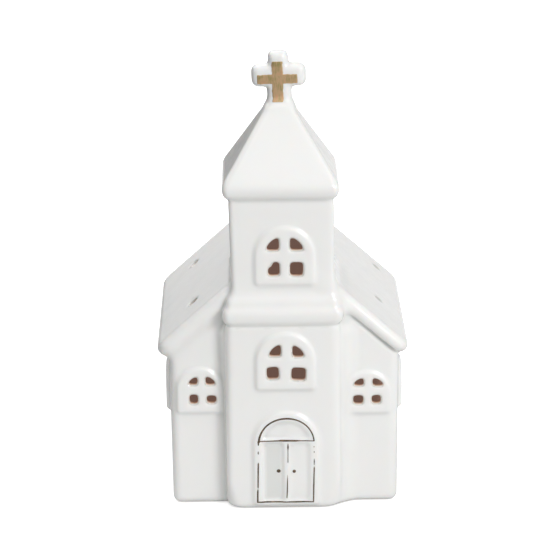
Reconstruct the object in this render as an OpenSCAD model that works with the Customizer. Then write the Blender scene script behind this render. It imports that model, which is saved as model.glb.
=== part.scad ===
// Lit porcelain village church: a hollow slip-cast shell with a front tower, a pyramid spire and a
// cross, and a battery light unit that plugs into the round hole in its floor.
// Millimetres, +Z up, front towards -Y. The origin is under the middle of the whole piece.

/* [Nave] */
// Width of the nave across its side walls
nave_w = 105.2; // [96:0.2:120]
// Length of the nave from its front wall to its rear wall
nave_d = 105; // [92:1:130]
// Height where the side walls meet the underside of the roof
nave_wall_h = 71.8; // [70:0.2:84]
// Radius of the nave's upright corners
nave_corner_r = 4; // [3.8:0.1:7]
// Thickness of the fired porcelain wall
wall_t = 3.5; // [2.6:0.1:3.7]
// Depth of the recess under the floor
foot_depth = 4; // [3.8:0.1:5]
// Width of the foot rim that the piece stands on
foot_rim_w = 5; // [4:0.1:7]

/* [Roof] */
// Pitch of the nave roof, in degrees
roof_pitch = 40; // [34:0.5:44]
// Thickness of a roof slab, square to its slope
slab_t = 6.9; // [5:0.1:8]
// Reach of the eaves past the side walls
eave_reach = 5; // [4:0.1:9]
// Reach of the roof past the front and rear walls
verge_reach = 2.8; // [1:0.1:5]
// Diameter of the vent holes through the roof
vent_d = 4.8; // [3:0.1:6]

/* [Tower] */
// Width and depth of the lower stage of the tower
lower_w = 52.8; // [50:0.2:58]
// Width and depth of the upper stage of the tower
upper_w = 47.8; // [44:0.2:50]
// Distance from the nave's front wall back to the middle of the tower
tower_back = 17.9; // [15:0.1:20]
// Radius of the lower stage's upright corners
lower_corner_r = 3; // [2.6:0.1:4]
// Radius of the upper stage's upright corners
upper_corner_r = 1.8; // [1:0.1:3]
// Radius of the fillet between the lower stage and the front wall
tower_fillet_r = 2; // [1:0.1:3]
// Height of the underside of the string course
course_z = 88.7; // [86:0.1:92]
// Height of the string course's round lower part
course_roll_h = 11.6; // [9:0.1:13]
// Height of the cove above the roll
course_cove_h = 3.2; // [2:0.1:4]
// Reach of the roll past the lower stage
course_reach = 1.2; // [0.6:0.1:2]

/* [Spire] */
// Height of the underside of the spire's eave
cap_z = 147; // [144:0.2:152]
// Width and depth of the eave at its widest
cap_w = 52.6; // [50:0.2:58]
// Height of the eave's lower, flatter bulge
cap_bulge_h = 6.2; // [4:0.1:8]
// Height and radius of the eave's round upper edge
cap_round_r = 5; // [3:0.1:6]
// Radius of the eave's corners, seen from above, at the line of its core
cap_corner_r = 2.2; // [2:0.1:4]
// Half width where the spire's slopes leave the eave
spire_foot_half = 22.9; // [21:0.1:24]
// Height of the spire's slopes from the eave to the neck
spire_rise = 26.6; // [22:0.2:32]
// Half width at the top of the slopes
spire_top_half = 6.8; // [5:0.1:8]
// Radius of the spire's hips
spire_hip_r = 1.6; // [0.8:0.1:3]

/* [Cross] */
// Height of the cross above the top of the slopes
cross_rise = 25.2; // [22:0.2:30]
// Width of the upright
cross_stem_w = 12.4; // [11:0.1:14]
// Width across the arms
cross_arm_w = 25; // [22:0.2:30]
// Height of the arms
cross_arm_h = 10; // [9:0.1:12]
// Height of the arms' underside above the top of the slopes
cross_arm_z = 8.7; // [7:0.1:11]
// Thickness of the cross from front to back
cross_t = 8; // [6:0.1:9]
// Lean of the cross to its left, in degrees
cross_lean = 2; // [0:0.5:4]
// Turn of the cross towards its left, in degrees
cross_turn = 4; // [0:0.5:8]

/* [Tower windows] */
// Width of a raised tower window surround
tower_win_w = 27.2; // [24:0.2:30]
// Height of its sides below the arch
tower_win_side = 13.7; // [12:0.1:16]
// Width of a tower pane
tower_pane_w = 6.3; // [5:0.1:7]
// Width of the upright glazing bar
tower_mullion_w = 4.6; // [3:0.1:6]
// Height of the lower panes
tower_pane_h = 6.8; // [5:0.1:8]
// Height of the lower panes' foot above the sill
tower_pane_low = 4.2; // [3:0.1:5]
// Height of the level glazing bar
tower_transom_h = 5; // [3:0.1:6]
// Height of the sill of the upper window
upper_sill_z = 107; // [106:0.1:112]
// Height of the sill of the lower window
lower_sill_z = 58; // [54:0.1:60]

/* [Nave windows] */
// Width of a raised nave window surround
nave_win_w = 21; // [18:0.2:24]
// Height of its sides below the arch
nave_win_side = 11.4; // [9:0.1:14]
// Width of a nave pane
nave_pane_w = 4.7; // [4:0.1:5.5]
// Width of the upright glazing bar
nave_mullion_w = 3.4; // [2.5:0.1:5]
// Height of the lower panes
nave_pane_h = 5.3; // [4:0.1:6]
// Height of the lower panes' foot above the sill
nave_pane_low = 4.4; // [3:0.1:5]
// Height of the level glazing bar
nave_transom_h = 4.4; // [3:0.1:5]
// Height of the sills of the nave windows
nave_sill_z = 43.6; // [36:0.2:46]
// Distance of the front windows from the middle of the front wall
front_win_x = 38; // [37:0.2:42]
// Number of windows in each side wall
side_win_count = 3; // [1:1:3]
// Distance between the side windows, middle to middle
side_win_pitch = 35; // [28:0.5:38]

/* [Relief] */
// Height of the surrounds above the wall
relief_h = 1.2; // [0.6:0.1:1.8]
// Distance of the door and the tower windows to the right of the tower's middle
front_shift = 1.4; // [0:0.1:2]

/* [Door] */
// Width of the raised door surround
door_w = 30.2; // [28:0.2:32]
// Height of its foot above the table
door_foot_z = 2.2; // [1:0.1:4]
// Height of its sides below the arch
door_side = 30.2; // [26:0.2:34]
// Width between the middles of the gold lines beside the door
door_gold_w = 25.2; // [24:0.1:26]
// Height of the gold line under the fanlight, above the door's foot
door_head = 31.2; // [28:0.1:33]
// Height of the lowest gold line above the door's foot
door_sill = 1.2; // [0.8:0.1:2]
// Drop of the fanlight arc's centre below the line under it
fan_drop = 1.9; // [1:0.1:3]
// Width of a painted gold line
gold_line_w = 0.9; // [0.5:0.05:1.4]
// Thickness of the painted gold
gold_t = 0.2; // [0.1:0.05:0.4]
// Width of a sunk door panel
panel_w = 9.2; // [7:0.1:10]
// Width of the stile between the two panels
stile_w = 2.6; // [2:0.1:4]
// Depth of the door panels and the fanlight
panel_depth = 0.7; // [0.3:0.05:1]
// Height of the door knobs' middle above the door's foot
knob_z = 16.1; // [12:0.1:20]
// Distance between the knobs
knob_gap = 7.1; // [5:0.1:9]
// Diameter of a knob's gold dab
knob_d = 2.1; // [1.4:0.1:3]

/* [Light unit] */
// Diameter of the round hole in the floor
light_hole_d = 43; // [42.6:0.1:46]
// Radial clearance between the light unit's barrel and the hole
barrel_clear = 0.8; // [0.5:0.05:1]
// Diameter of the light unit's flange
flange_d = 54; // [52:0.5:58]
// Thickness of the flange and of the base plate
flange_t = 2.2; // [1.8:0.1:2.4]
// Gap between the flange and the floor
flange_gap = 0.3; // [0.2:0.05:0.5]
// Height of the barrel above its flange
barrel_h = 22.3; // [21:0.1:28]
// Thickness of the barrel's wall
barrel_t = 1.6; // [1.2:0.1:1.8]
// Thickness of the frosted cover
cover_t = 1.2; // [0.8:0.1:1.6]
// Height of the frosted cover above the barrel
cover_h = 14; // [12.5:0.1:20]
// Gap between pieces of the light unit that face each other
fit_gap = 0.3; // [0.2:0.05:0.35]

/* [Battery and switch] */
// Diameter of a button cell
cell_d = 11.6; // [9.5:0.1:11.8]
// Height of a button cell
cell_h = 5.4; // [3.6:0.1:5.6]
// Number of button cells in the row
cell_count = 3; // [1:1:3]
// Distance of the cell row in front of the middle of the unit
cell_row_back = 7; // [6.5:0.1:7.5]
// Thickness of the battery door
door_t = 1.7; // [1.4:0.05:1.8]
// Radius of the battery door's hinge pins
hinge_pin_r = 0.5; // [0.4:0.05:0.6]
// Diameter of the small screws
screw_d = 2; // [1.6:0.1:2.2]
// Travel of the switch knob
switch_travel = 2.4; // [1.5:0.1:3]

/* [Hidden] */
$fn = 48;

// Overrun of every cut past the solid that it cuts
over = 0.5;
// How far joined solids reach into each other
lap = 0.6;
// Facets round the large turned pieces
fine_fn = 96;
// Steps of an arc in a moulding's outline
arc_steps = 7;
// Thickness of the thin plates that a hull joins
sheet_t = 0.05;

// Colours of the pieces
glaze_colour = "#f4f3ee";
gold_colour = "#b9935a";
plastic_colour = "#e9e6dc";
frosted_colour = "#f6f1e4";
board_colour = "#2f6b46";
steel_colour = "#b9bcc0";
dark_colour = "#2b2b2d";
lens_colour = "#f7ecc8";
resistor_colour = "#c9a877";

// The whole depth, which centres the piece on the origin
reach_front = lower_w / 2 - tower_back + max(course_reach, relief_h + gold_t);
reach_back = nave_d + verge_reach;
wall_y = (reach_front - reach_back) / 2;
tower_y = wall_y + tower_back;
nave_mid_y = wall_y + nave_d / 2;
lower_face_y = tower_y - lower_w / 2;
upper_face_y = tower_y - upper_w / 2;

// Heights of the roof slab's faces above the walls, measured upright
slab_up = slab_t / cos(roof_pitch);
function roof_top_z(x) = nave_wall_h + slab_up + (nave_w / 2 - x) * tan(roof_pitch);
floor_top = foot_depth + wall_t;

// The spire's levels
course_top = course_z + course_roll_h + course_cove_h;
spire_z = cap_z + cap_bulge_h + cap_round_r;
neck_z = spire_z + spire_rise;
spire_run = spire_foot_half - spire_top_half;
// Level distance that the porcelain takes up under the sloping faces
slope_wall = wall_t * sqrt(pow(spire_run, 2) + pow(spire_rise, 2)) / spire_rise;

// Points of an arc round a centre, from one angle to another
function arc(centre, r, from, to, steps = arc_steps) =
    [for (i = [0:steps]) let (a = from + (to - from) * i / steps) centre + r * [cos(a), sin(a)]];

module rounded_rect(w, d, r) {
    square([w - 2 * r, d], center = true);
    square([w, d - 2 * r], center = true);
    for (x = [-1, 1], y = [-1, 1]) translate([x * (w / 2 - r), y * (d / 2 - r)]) circle(r);
}

// A square band with round corners. Its outline is given outwards from the side of a square of the
// given half width, whose corners have the given radius.
module square_band(half, r, outline) {
    low = outline[0].y;
    high = outline[len(outline) - 1].y;
    section = concat([for (p = outline) [half + p.x, p.y]],
                     [for (i = [len(outline) - 1:-1:0]) [-half - outline[i].x, outline[i].y]]);
    for (turn = [0, 90]) rotate(turn) translate([0, half - r]) rotate([90, 0, 0])
        linear_extrude(2 * (half - r)) polygon(section);
    for (x = [-1, 1], y = [-1, 1]) translate([x * (half - r), y * (half - r)])
        rotate_extrude() polygon(concat([[0, low]], [for (p = outline) [r + p.x, p.y]], [[0, high]]));
}

// Puts a flat outline on a front wall, so that it grows out of the wall towards the viewer
module on_front(x, y, z) {
    translate([x, y, z]) rotate([90, 0, 0]) children();
}

// Puts a flat outline on a side wall of the nave, so that it grows outwards
module on_side(side, y, z) {
    translate([side * nave_w / 2, y, z]) rotate([90, 0, side * 90]) children();
}

// A nave-shaped block: upright walls with round corners under a gable
module gabled_block(inset, low, eave) {
    half = nave_w / 2 - inset;
    corner = max(nave_corner_r - inset, sheet_t);
    ridge = eave + half * tan(roof_pitch);
    intersection() {
        translate([0, nave_mid_y, low]) linear_extrude(ridge - low)
            rounded_rect(2 * half, nave_d - 2 * inset, corner);
        translate([0, nave_mid_y + nave_d, 0]) rotate([90, 0, 0]) linear_extrude(2 * nave_d)
            polygon([[-half, low], [half, low], [half, eave], [0, ridge], [-half, eave]]);
    }
}

// A plate with all its edges rounded. Its round edges' middles run along a rectangle that starts at
// the origin, along X and Y.
module soft_plate(len_x, len_y, t) {
    r = t / 2;
    translate([0, 0, -r]) cube([len_x, len_y, t]);
    for (x = [0, len_x]) translate([x, 0, 0]) rotate([-90, 0, 0]) cylinder(h = len_y, r = r);
    for (y = [0, len_y]) translate([0, y, 0]) rotate([0, 90, 0]) cylinder(h = len_x, r = r);
    for (x = [0, len_x], y = [0, len_y]) translate([x, y, 0]) sphere(r);
}

// One slope of the roof: a thick slab with round edges, from the ridge to its eave
module roof_slab(side) {
    r = slab_t / 2;
    run = nave_w / 2 + eave_reach - r;
    mid_ridge = nave_wall_h + slab_up / 2 + nave_w / 2 * tan(roof_pitch);
    mirror([side < 0 ? 1 : 0, 0, 0]) translate([0, wall_y - verge_reach + r, mid_ridge])
        rotate([0, roof_pitch, 0])
            soft_plate(run / cos(roof_pitch), reach_back + verge_reach - slab_t, slab_t);
}

module tower_block(w, r, low, high) {
    translate([0, tower_y, low]) linear_extrude(high - low) rounded_rect(w, w, r);
}

// The moulding between the stages: a roll, and a cove that leads up to the upper stage
module string_course() {
    base_half = min(lower_w, upper_w) / 2;
    step_in = (lower_w - upper_w) / 2;
    roll_half = course_roll_h / 2;
    roll_mid = course_z + roll_half;
    roll = [for (i = [0:2 * arc_steps]) let (a = -90 + 90 * i / arc_steps)
            [course_reach * cos(a), roll_mid + roll_half * sin(a)]];
    cove = [for (i = [0:arc_steps]) let (a = 90 * i / arc_steps)
            [lower_w / 2 - base_half - step_in * sin(a),
             roll_mid + roll_half + course_cove_h * (1 - cos(a))]];
    translate([0, tower_y, 0]) {
        square_band(lower_w / 2, lower_corner_r, roll);
        square_band(base_half, upper_corner_r, cove);
    }
}

// The eave under the spire: a flat bulge with a round upper edge
module spire_eave() {
    half = cap_w / 2;
    core_half = (cap_w + upper_w) / 4 - lap;
    reach = half - core_half;
    // Radius of the lower bulge, which passes through the tower's face and the widest point
    tuck = half - upper_w / 2 - lap / 2;
    bulge_r = (pow(cap_bulge_h, 2) + pow(tuck, 2)) / (2 * tuck);
    bulge_angle = asin(cap_bulge_h / bulge_r);
    widest = cap_z + cap_bulge_h;
    top_reach = spire_foot_half - core_half;
    low = arc([reach - bulge_r, widest], bulge_r, -bulge_angle, 0);
    high = [for (i = [1:arc_steps]) let (a = 90 * i / arc_steps)
            [top_reach + (reach - top_reach) * cos(a), widest + cap_round_r * sin(a)]];
    translate([0, tower_y, 0]) square_band(core_half, cap_corner_r, concat(low, high));
}

// The four slopes between two levels, each level a square with round corners
module spire_slopes(low_half, low_z, high_half, high_z, r) {
    translate([0, tower_y, 0]) hull() {
        translate([0, 0, low_z]) linear_extrude(sheet_t) rounded_rect(2 * low_half, 2 * low_half, r);
        translate([0, 0, high_z - sheet_t]) linear_extrude(sheet_t)
            rounded_rect(2 * high_half, 2 * high_half, r);
    }
}

// Puts something where the cross stands, leaning and turned as the cross does
module at_cross() {
    translate([0, tower_y, neck_z]) rotate([0, -cross_lean, -cross_turn]) children();
}

// One soft bar of the cross, as wide as given, between two levels
module cross_bar(w, low, high) {
    inner_w = w - cross_t;
    translate([-inner_w / 2, 0, low + cross_t / 2]) rotate([90, 0, 0])
        soft_plate(inner_w, high - low - cross_t, cross_t);
}

module cross_body() {
    at_cross() {
        cross_bar(cross_stem_w, -cross_t, cross_rise);
        cross_bar(cross_arm_w, cross_arm_z, cross_arm_z + cross_arm_h);
    }
}

module arch(w, side) {
    translate([-w / 2, 0]) square([w, side]);
    translate([0, side]) circle(w / 2);
}

// The four panes of an arched window, with the arch's centre at the top of its sides
module panes(side, pane_w, mullion_w, pane_low, pane_h, transom_h) {
    half = mullion_w / 2 + pane_w;
    upper = pane_low + pane_h + transom_h;
    for (x = [-half, mullion_w / 2]) {
        translate([x, pane_low]) square([pane_w, pane_h]);
        intersection() {
            translate([0, side]) circle(half);
            translate([x, upper]) square([pane_w, half]);
        }
    }
}

module tower_panes() {
    panes(tower_win_side, tower_pane_w, tower_mullion_w, tower_pane_low, tower_pane_h, tower_transom_h);
}

module nave_panes() {
    panes(nave_win_side, nave_pane_w, nave_mullion_w, nave_pane_low, nave_pane_h, nave_transom_h);
}

module at_tower_windows() {
    on_front(front_shift, upper_face_y, upper_sill_z) children();
    on_front(front_shift, lower_face_y, lower_sill_z) children();
}

module at_nave_windows() {
    for (s = [-1, 1]) {
        on_front(s * front_win_x, wall_y, nave_sill_z) children();
        for (i = [0:side_win_count - 1])
            on_side(s, nave_mid_y + (i - (side_win_count - 1) / 2) * side_win_pitch, nave_sill_z)
                children();
    }
}

// A surround stands out of its wall, and starts a little inside it
module raised() {
    translate([0, 0, -lap]) linear_extrude(relief_h + lap) children();
}

module pierced() {
    translate([0, 0, -wall_t - over]) linear_extrude(wall_t + relief_h + 2 * over) children();
}

module at_door() {
    on_front(front_shift, lower_face_y, door_foot_z) children();
}

// The sunk door panels and the sunk fanlight over them
module door_sinkings() {
    inner = door_gold_w / 2 - gold_line_w;
    low = door_sill + gold_line_w;
    panel_h = door_head - gold_line_w - low;
    for (s = [-1, 1]) translate([s * (stile_w + panel_w) / 2 - panel_w / 2, low])
        square([panel_w, panel_h]);
    intersection() {
        translate([0, door_head - fan_drop]) circle(inner - gold_line_w / 2);
        translate([-inner, door_head + gold_line_w]) square([2 * inner, inner]);
    }
}

// Places of the vent holes: side, share of the half width out from the ridge, share of the length
vent_shares = [[-1, 0.78, 0.21], [-1, 0.79, 0.82], [1, 0.87, 0.34], [1, 0.9, 0.89]];

module vents() {
    for (v = vent_shares) {
        x = v[1] * nave_w / 2;
        translate([v[0] * x, wall_y + v[2] * nave_d, roof_top_z(x)]) rotate([0, v[0] * roof_pitch, 0])
            translate([0, 0, -slab_t - wall_t]) cylinder(h = slab_t + wall_t + over, d = vent_d);
    }
}

module tower_fillets() {
    for (s = [-1, 1]) translate([s * lower_w / 2, wall_y, 0]) linear_extrude(course_z) difference() {
        translate([s > 0 ? -lap : -tower_fillet_r, -tower_fillet_r])
            square([tower_fillet_r + lap, tower_fillet_r + lap]);
        translate([s * tower_fillet_r, -tower_fillet_r]) circle(tower_fillet_r);
    }
}

module shell_outside() {
    gabled_block(0, 0, nave_wall_h + slab_up / 2);
    for (s = [-1, 1]) roof_slab(s);
    tower_block(lower_w, lower_corner_r, 0, course_z + course_roll_h);
    tower_fillets();
    string_course();
    tower_block(upper_w, upper_corner_r, course_z + course_roll_h, cap_z + cap_bulge_h);
    spire_eave();
    spire_slopes(spire_foot_half, spire_z - lap, spire_top_half, neck_z, spire_hip_r);
    cross_body();
    at_tower_windows() raised() arch(tower_win_w, tower_win_side);
    at_nave_windows() raised() arch(nave_win_w, nave_win_side);
    at_door() raised() arch(door_w, door_side);
}

// The hollow that pouring the slip out leaves, an even wall inside the outer form
module shell_hollow() {
    core_tip = wall_t / 2;
    core_foot = spire_foot_half - slope_wall;
    core_rise = (core_foot - core_tip) * spire_rise / spire_run;
    gabled_block(wall_t, floor_top, roof_top_z(nave_w / 2 - wall_t) - wall_t / cos(roof_pitch));
    tower_block(lower_w - 2 * wall_t, lower_corner_r, floor_top, course_top - wall_t);
    tower_block(upper_w - 2 * wall_t, upper_corner_r, floor_top, spire_z);
    spire_slopes(core_foot, spire_z - lap, core_tip, spire_z + core_rise, core_tip / 2);
}

// The recess under the floor follows the outside, a foot rim's width in
module foot_recess() {
    translate([0, 0, -over]) linear_extrude(foot_depth + over) {
        translate([0, nave_mid_y])
            rounded_rect(nave_w - 2 * foot_rim_w, nave_d - 2 * foot_rim_w, nave_corner_r);
        translate([0, tower_y]) rounded_rect(lower_w - 2 * foot_rim_w, lower_w - 2 * foot_rim_w,
                                             lower_corner_r);
    }
}

module church_shell() {
    color(glaze_colour) difference() {
        shell_outside();
        shell_hollow();
        foot_recess();
        at_tower_windows() pierced() tower_panes();
        at_nave_windows() pierced() nave_panes();
        at_door() translate([0, 0, relief_h - panel_depth]) linear_extrude(panel_depth + over)
            door_sinkings();
        vents();
        translate([0, nave_mid_y, 0]) cylinder(h = floor_top + over, d = light_hole_d);
    }
}

// The gold cross painted on the front of the finial
gold_stem_w = 5.4;
gold_stem_low = 2.6;
gold_stem_high = cross_rise - cross_t / 2;
gold_arm_w = 18.2;
gold_arm_h = 4.4;

module gold_cross() {
    arm_z = cross_arm_z + (cross_arm_h - gold_arm_h) / 2;
    color(gold_colour) at_cross() translate([0, -cross_t / 2, 0]) rotate([90, 0, 0])
        linear_extrude(gold_t) {
            translate([-gold_stem_w / 2, gold_stem_low])
                square([gold_stem_w, gold_stem_high - gold_stem_low]);
            translate([-gold_arm_w / 2, arm_z]) square([gold_arm_w, gold_arm_h]);
        }
}

// The gold lines round the door: sides, foot, head, the arc over the fanlight and the middle line
module gold_door_lines() {
    half = door_gold_w / 2;
    line = gold_line_w / 2;
    arc_r = sqrt(pow(half, 2) + pow(fan_drop, 2));
    mid_low = door_sill + 2 * gold_line_w;
    color(gold_colour) at_door() translate([0, 0, relief_h]) linear_extrude(gold_t) {
        for (s = [-1, 1]) translate([s * half - line, door_sill - line])
            square([gold_line_w, door_head - door_sill + gold_line_w]);
        for (z = [door_sill, door_head]) translate([-half, z - line])
            square([door_gold_w, gold_line_w]);
        translate([-line, mid_low]) square([gold_line_w, door_head - mid_low]);
        intersection() {
            translate([0, door_head - fan_drop]) difference() {
                circle(arc_r + line);
                circle(arc_r - line);
            }
            translate([-door_gold_w, door_head]) square([2 * door_gold_w, door_gold_w]);
        }
    }
}

module gold_door_knobs() {
    dab_rise = knob_d / 4;
    dab_r = (pow(knob_d / 2, 2) + pow(dab_rise, 2)) / (2 * dab_rise);
    color(gold_colour) at_door() for (s = [-1, 1])
        translate([s * knob_gap / 2, knob_z, relief_h - panel_depth]) intersection() {
            translate([0, 0, dab_rise - dab_r]) sphere(dab_r);
            cylinder(h = dab_rise, d = knob_d);
        }
}

// The light unit's levels, worked upwards from the floor's underside
plate_t = 3.4;
flange_top = foot_depth - flange_gap;
flange_low = flange_top - flange_t;
plate_top = flange_low + plate_t;
barrel_r = light_hole_d / 2 - barrel_clear;
barrel_top = flange_top + barrel_h;
barrel_bore_r = barrel_r - barrel_t;
flange_bevel = 0.5;
groove_z = foot_depth + fit_gap;
groove_h = wall_t - 2 * fit_gap;
groove_depth = barrel_t / 2;
ring_clear = 0.15;
spigot_h = 3;
cover_side_h = 4;

// The battery box, its contacts, its door and its screw
cell_gap = 0.15;
cell_cap_share = 0.12;
cell_edge_share = 0.08;
cell_seal_share = 0.78;
contact_room = 3.2;
contact_t = 0.4;
contact_w_share = 0.72;
plate_room = contact_t + 2 * fit_gap;
row_len = cell_count * (cell_h + cell_gap);
box_len = row_len + contact_room + plate_room;
box_w = cell_d + 2 * fit_gap;
box_t = 1.2;
row_y = nave_mid_y - cell_row_back;
door_top = flange_low + door_t;
cell_z = door_top + fit_gap + cell_d / 2;
box_top = cell_z + cell_d / 2 + fit_gap;
first_cell_x = -box_len / 2 + contact_room;
tab_w = 3;
tab_rise = 0.8;
tab_top = box_top + box_t + tab_rise;
spring_turns = 3;
spring_wire_r = 0.25;
spring_steps = 12;
spring_wide_share = 0.28;
spring_narrow_share = 0.14;
bead_r = door_t / 2;
hinge_x = -box_len / 2 - bead_r - box_t / 2;
hinge_z = flange_low + bead_r;
pin_clear = 0.08;
pin_len = 1;
screw_clear = 0.3;
screw_bite = 2.2;
head_r_share = 0.95;
head_h_share = 0.45;
recess_share = 0.55;
head_r = screw_d * head_r_share;
head_h = screw_d * head_h_share;
screw_hole_r = screw_d / 2 + screw_clear;
boss_r = screw_hole_r + box_t;
screw_x = box_len / 2 + box_t + boss_r / 2 + fit_gap;
door_tab_r = head_r + box_t;
boss_h = screw_bite + screw_d / 2;

// The circuit board and what it carries
board_r = barrel_bore_r - 2 * fit_gap;
board_t = 1.2;
lead_tail = 1.2;
board_z = box_top + box_t + lead_tail + fit_gap;
board_top = board_z + board_t;
post_x = 12.5;
post_y = nave_mid_y + cell_row_back;
post_r = screw_hole_r + box_t;
led_d = 5;
led_flange_d = 5.8;
led_flange_h = 1;
led_h = 8.6;
led_stand = 2;
led_pitch = 2.54;
lead_w = 0.5;
lead_hole_r = 0.5;
led_z = board_top + led_stand;
resistor_x = -9;
resistor_fore = 1;
resistor_y = nave_mid_y - resistor_fore;
resistor_d = 2.2;
resistor_len = 5.6;
resistor_lead_r = 0.25;
resistor_waist_share = 0.84;
chip_w = 3.9;
chip_x = 2 * chip_w;
chip_y = nave_mid_y + chip_w / 4;
chip_len = 4.9;
chip_h = 1.5;
leg_w = 0.45;
leg_pitch = 1.27;
leg_reach = 1;

// The slide switch
switch_back = 11.5;
switch_y = nave_mid_y + switch_back;
switch_len = 9;
switch_w = 5;
switch_h = 4;
switch_wall = 0.8;
switch_z = plate_top + fit_gap;
stem_w = 2.2;
stem_len = 2.4;
stem_reach = 1;
shoe_len = 4;
shoe_w = 3;
shoe_t = 1.2;
cheek_t = 0.8;
cheek_h = 2.4;
switch_pin_d = 0.6;
switch_pin_h = 1.6;
wire_r = 0.45;
wire_gap = 0.15;

// A point of a smooth curve from a to d, led by b and c
function smooth(a, b, c, d, t) =
    pow(1 - t, 3) * a + 3 * t * pow(1 - t, 2) * b + 3 * t * t * (1 - t) * c + pow(t, 3) * d;
function unit(v) = v / norm(v);

// A round wire along a path, as one closed skin: a ring of corners square to the path at each point.
// The path never runs along the side direction, which keeps the rings from twisting.
module wire(path, r, side, sides = 8) {
    last = len(path) - 1;
    rings = [for (i = [0:last]) let (dir = unit(path[min(i + 1, last)] - path[max(i - 1, 0)]),
             u = unit(cross(dir, side)), v = cross(dir, u))
             for (k = [0:sides - 1]) path[i] + r * (cos(360 * k / sides) * u + sin(360 * k / sides) * v)];
    skin = [for (i = [0:last - 1], k = [0:sides - 1]) let (m = (k + 1) % sides)
            [i * sides + k, (i + 1) * sides + k, (i + 1) * sides + m, i * sides + m]];
    low = [for (k = [0:sides - 1]) k];
    high = [for (k = [sides - 1:-1:0]) last * sides + k];
    polyhedron(rings, concat(skin, [low], [high]));
}

module boxed(x, y, low, high, len_x, len_y) {
    translate([x - len_x / 2, y - len_y / 2, low]) cube([len_x, len_y, high - low]);
}

// The battery door's outline, grown on all sides for the pocket that it lies in
module door_outline(grow) {
    half_w = box_w / 2 + grow;
    translate([hinge_x, row_y - half_w]) square([box_len / 2 - hinge_x + grow, 2 * half_w]);
    translate([box_len / 2 - lap, row_y - door_tab_r - grow])
        square([screw_x - box_len / 2 + lap, 2 * (door_tab_r + grow)]);
    translate([screw_x, row_y]) circle(door_tab_r + grow);
}

module base_body() {
    translate([0, nave_mid_y, 0]) rotate_extrude($fn = fine_fn) difference() {
        polygon([[0, flange_low], [flange_d / 2 - flange_bevel, flange_low],
                 [flange_d / 2, flange_low + flange_bevel], [flange_d / 2, flange_top],
                 [barrel_r, flange_top], [barrel_r, barrel_top], [barrel_bore_r, barrel_top],
                 [barrel_bore_r, plate_top], [0, plate_top]]);
        translate([barrel_r - groove_depth, groove_z]) square([groove_depth + over, groove_h]);
    }
    boxed(0, row_y, plate_top - lap, box_top + box_t, box_len + 2 * box_t, box_w + 2 * box_t);
    translate([screw_x, row_y, plate_top - lap]) cylinder(h = boss_h + lap, r = boss_r);
    for (s = [-1, 1]) {
        translate([s * post_x, post_y, plate_top - lap])
            cylinder(h = board_z - plate_top + lap, r = post_r);
        boxed(s * (switch_len / 2 + fit_gap + cheek_t / 2), switch_y, plate_top - lap,
              plate_top + cheek_h, cheek_t, switch_w);
    }
}

// The cup that everything else of the light unit sits in: flange, barrel, battery box, screw posts
module light_base() {
    slot_len = stem_len + switch_travel + 2 * fit_gap;
    color(plastic_colour) difference() {
        base_body();
        boxed(0, row_y, flange_low - over, box_top, box_len, box_w);
        translate([0, 0, flange_low - over]) linear_extrude(door_t + fit_gap + over) door_outline(fit_gap);
        translate([hinge_x, row_y, hinge_z]) rotate([90, 0, 0]) {
            cylinder(h = box_w + 2 * fit_gap, r = bead_r + fit_gap, center = true);
            cylinder(h = box_w + 2 * (pin_len + fit_gap), r = hinge_pin_r + pin_clear, center = true);
        }
        boxed(hinge_x, row_y, flange_low - over, hinge_z, 2 * (bead_r + fit_gap), box_w + 2 * fit_gap);
        translate([screw_x, row_y, flange_low]) cylinder(h = plate_t + boss_h + over, r = screw_hole_r);
        for (s = [-1, 1]) translate([s * post_x, post_y, board_z - boss_h - screw_bite])
            cylinder(h = boss_h + screw_bite + over, r = screw_hole_r);
        boxed(0, switch_y, flange_low - over, plate_top + over, slot_len, stem_w + 2 * fit_gap);
        for (x = [spring_plate_x, flat_plate_x]) boxed(x + contact_t / 2, row_y, box_top - over,
            box_top + box_t + over, contact_t + 2 * fit_gap, tab_w + 2 * fit_gap);
    }
}

// The rubber ring in the barrel's groove: a flat band with two round ribs that grip the hole
module grip_ring() {
    ring_h = groove_h - 2 * fit_gap;
    rib_r = ring_h / 4;
    inner_r = barrel_r - groove_depth + fit_gap;
    outer_r = light_hole_d / 2 - ring_clear;
    color(dark_colour) translate([0, nave_mid_y, groove_z + fit_gap]) rotate_extrude($fn = fine_fn) {
        translate([inner_r, 0]) square([outer_r - rib_r - inner_r, ring_h]);
        for (z = [rib_r, ring_h - rib_r]) translate([outer_r - rib_r, z]) circle(rib_r);
    }
}

// The cover's outline from its axis to one face: a short upright side under a shallow dome
module cover_half(r, low, side_top, rise) {
    dome_r = (pow(r, 2) + pow(rise, 2)) / (2 * rise);
    translate([0, low]) square([r, side_top - low]);
    intersection() {
        translate([0, side_top + rise - dome_r]) circle(dome_r, $fn = fine_fn);
        translate([0, side_top - lap]) square([r, rise + lap]);
    }
}

module frosted_cover() {
    low = barrel_top + fit_gap;
    rise = cover_h - cover_side_h;
    spigot_r = barrel_bore_r - fit_gap;
    color(frosted_colour) translate([0, nave_mid_y, 0]) rotate_extrude($fn = fine_fn) difference() {
        union() {
            cover_half(barrel_r, low, barrel_top + cover_side_h, rise);
            translate([0, barrel_top - spigot_h]) square([spigot_r, spigot_h + cover_side_h]);
        }
        translate([0, -over]) cover_half(spigot_r - cover_t, barrel_top - spigot_h,
                                         barrel_top + cover_side_h, rise - cover_t + over);
    }
}

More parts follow.
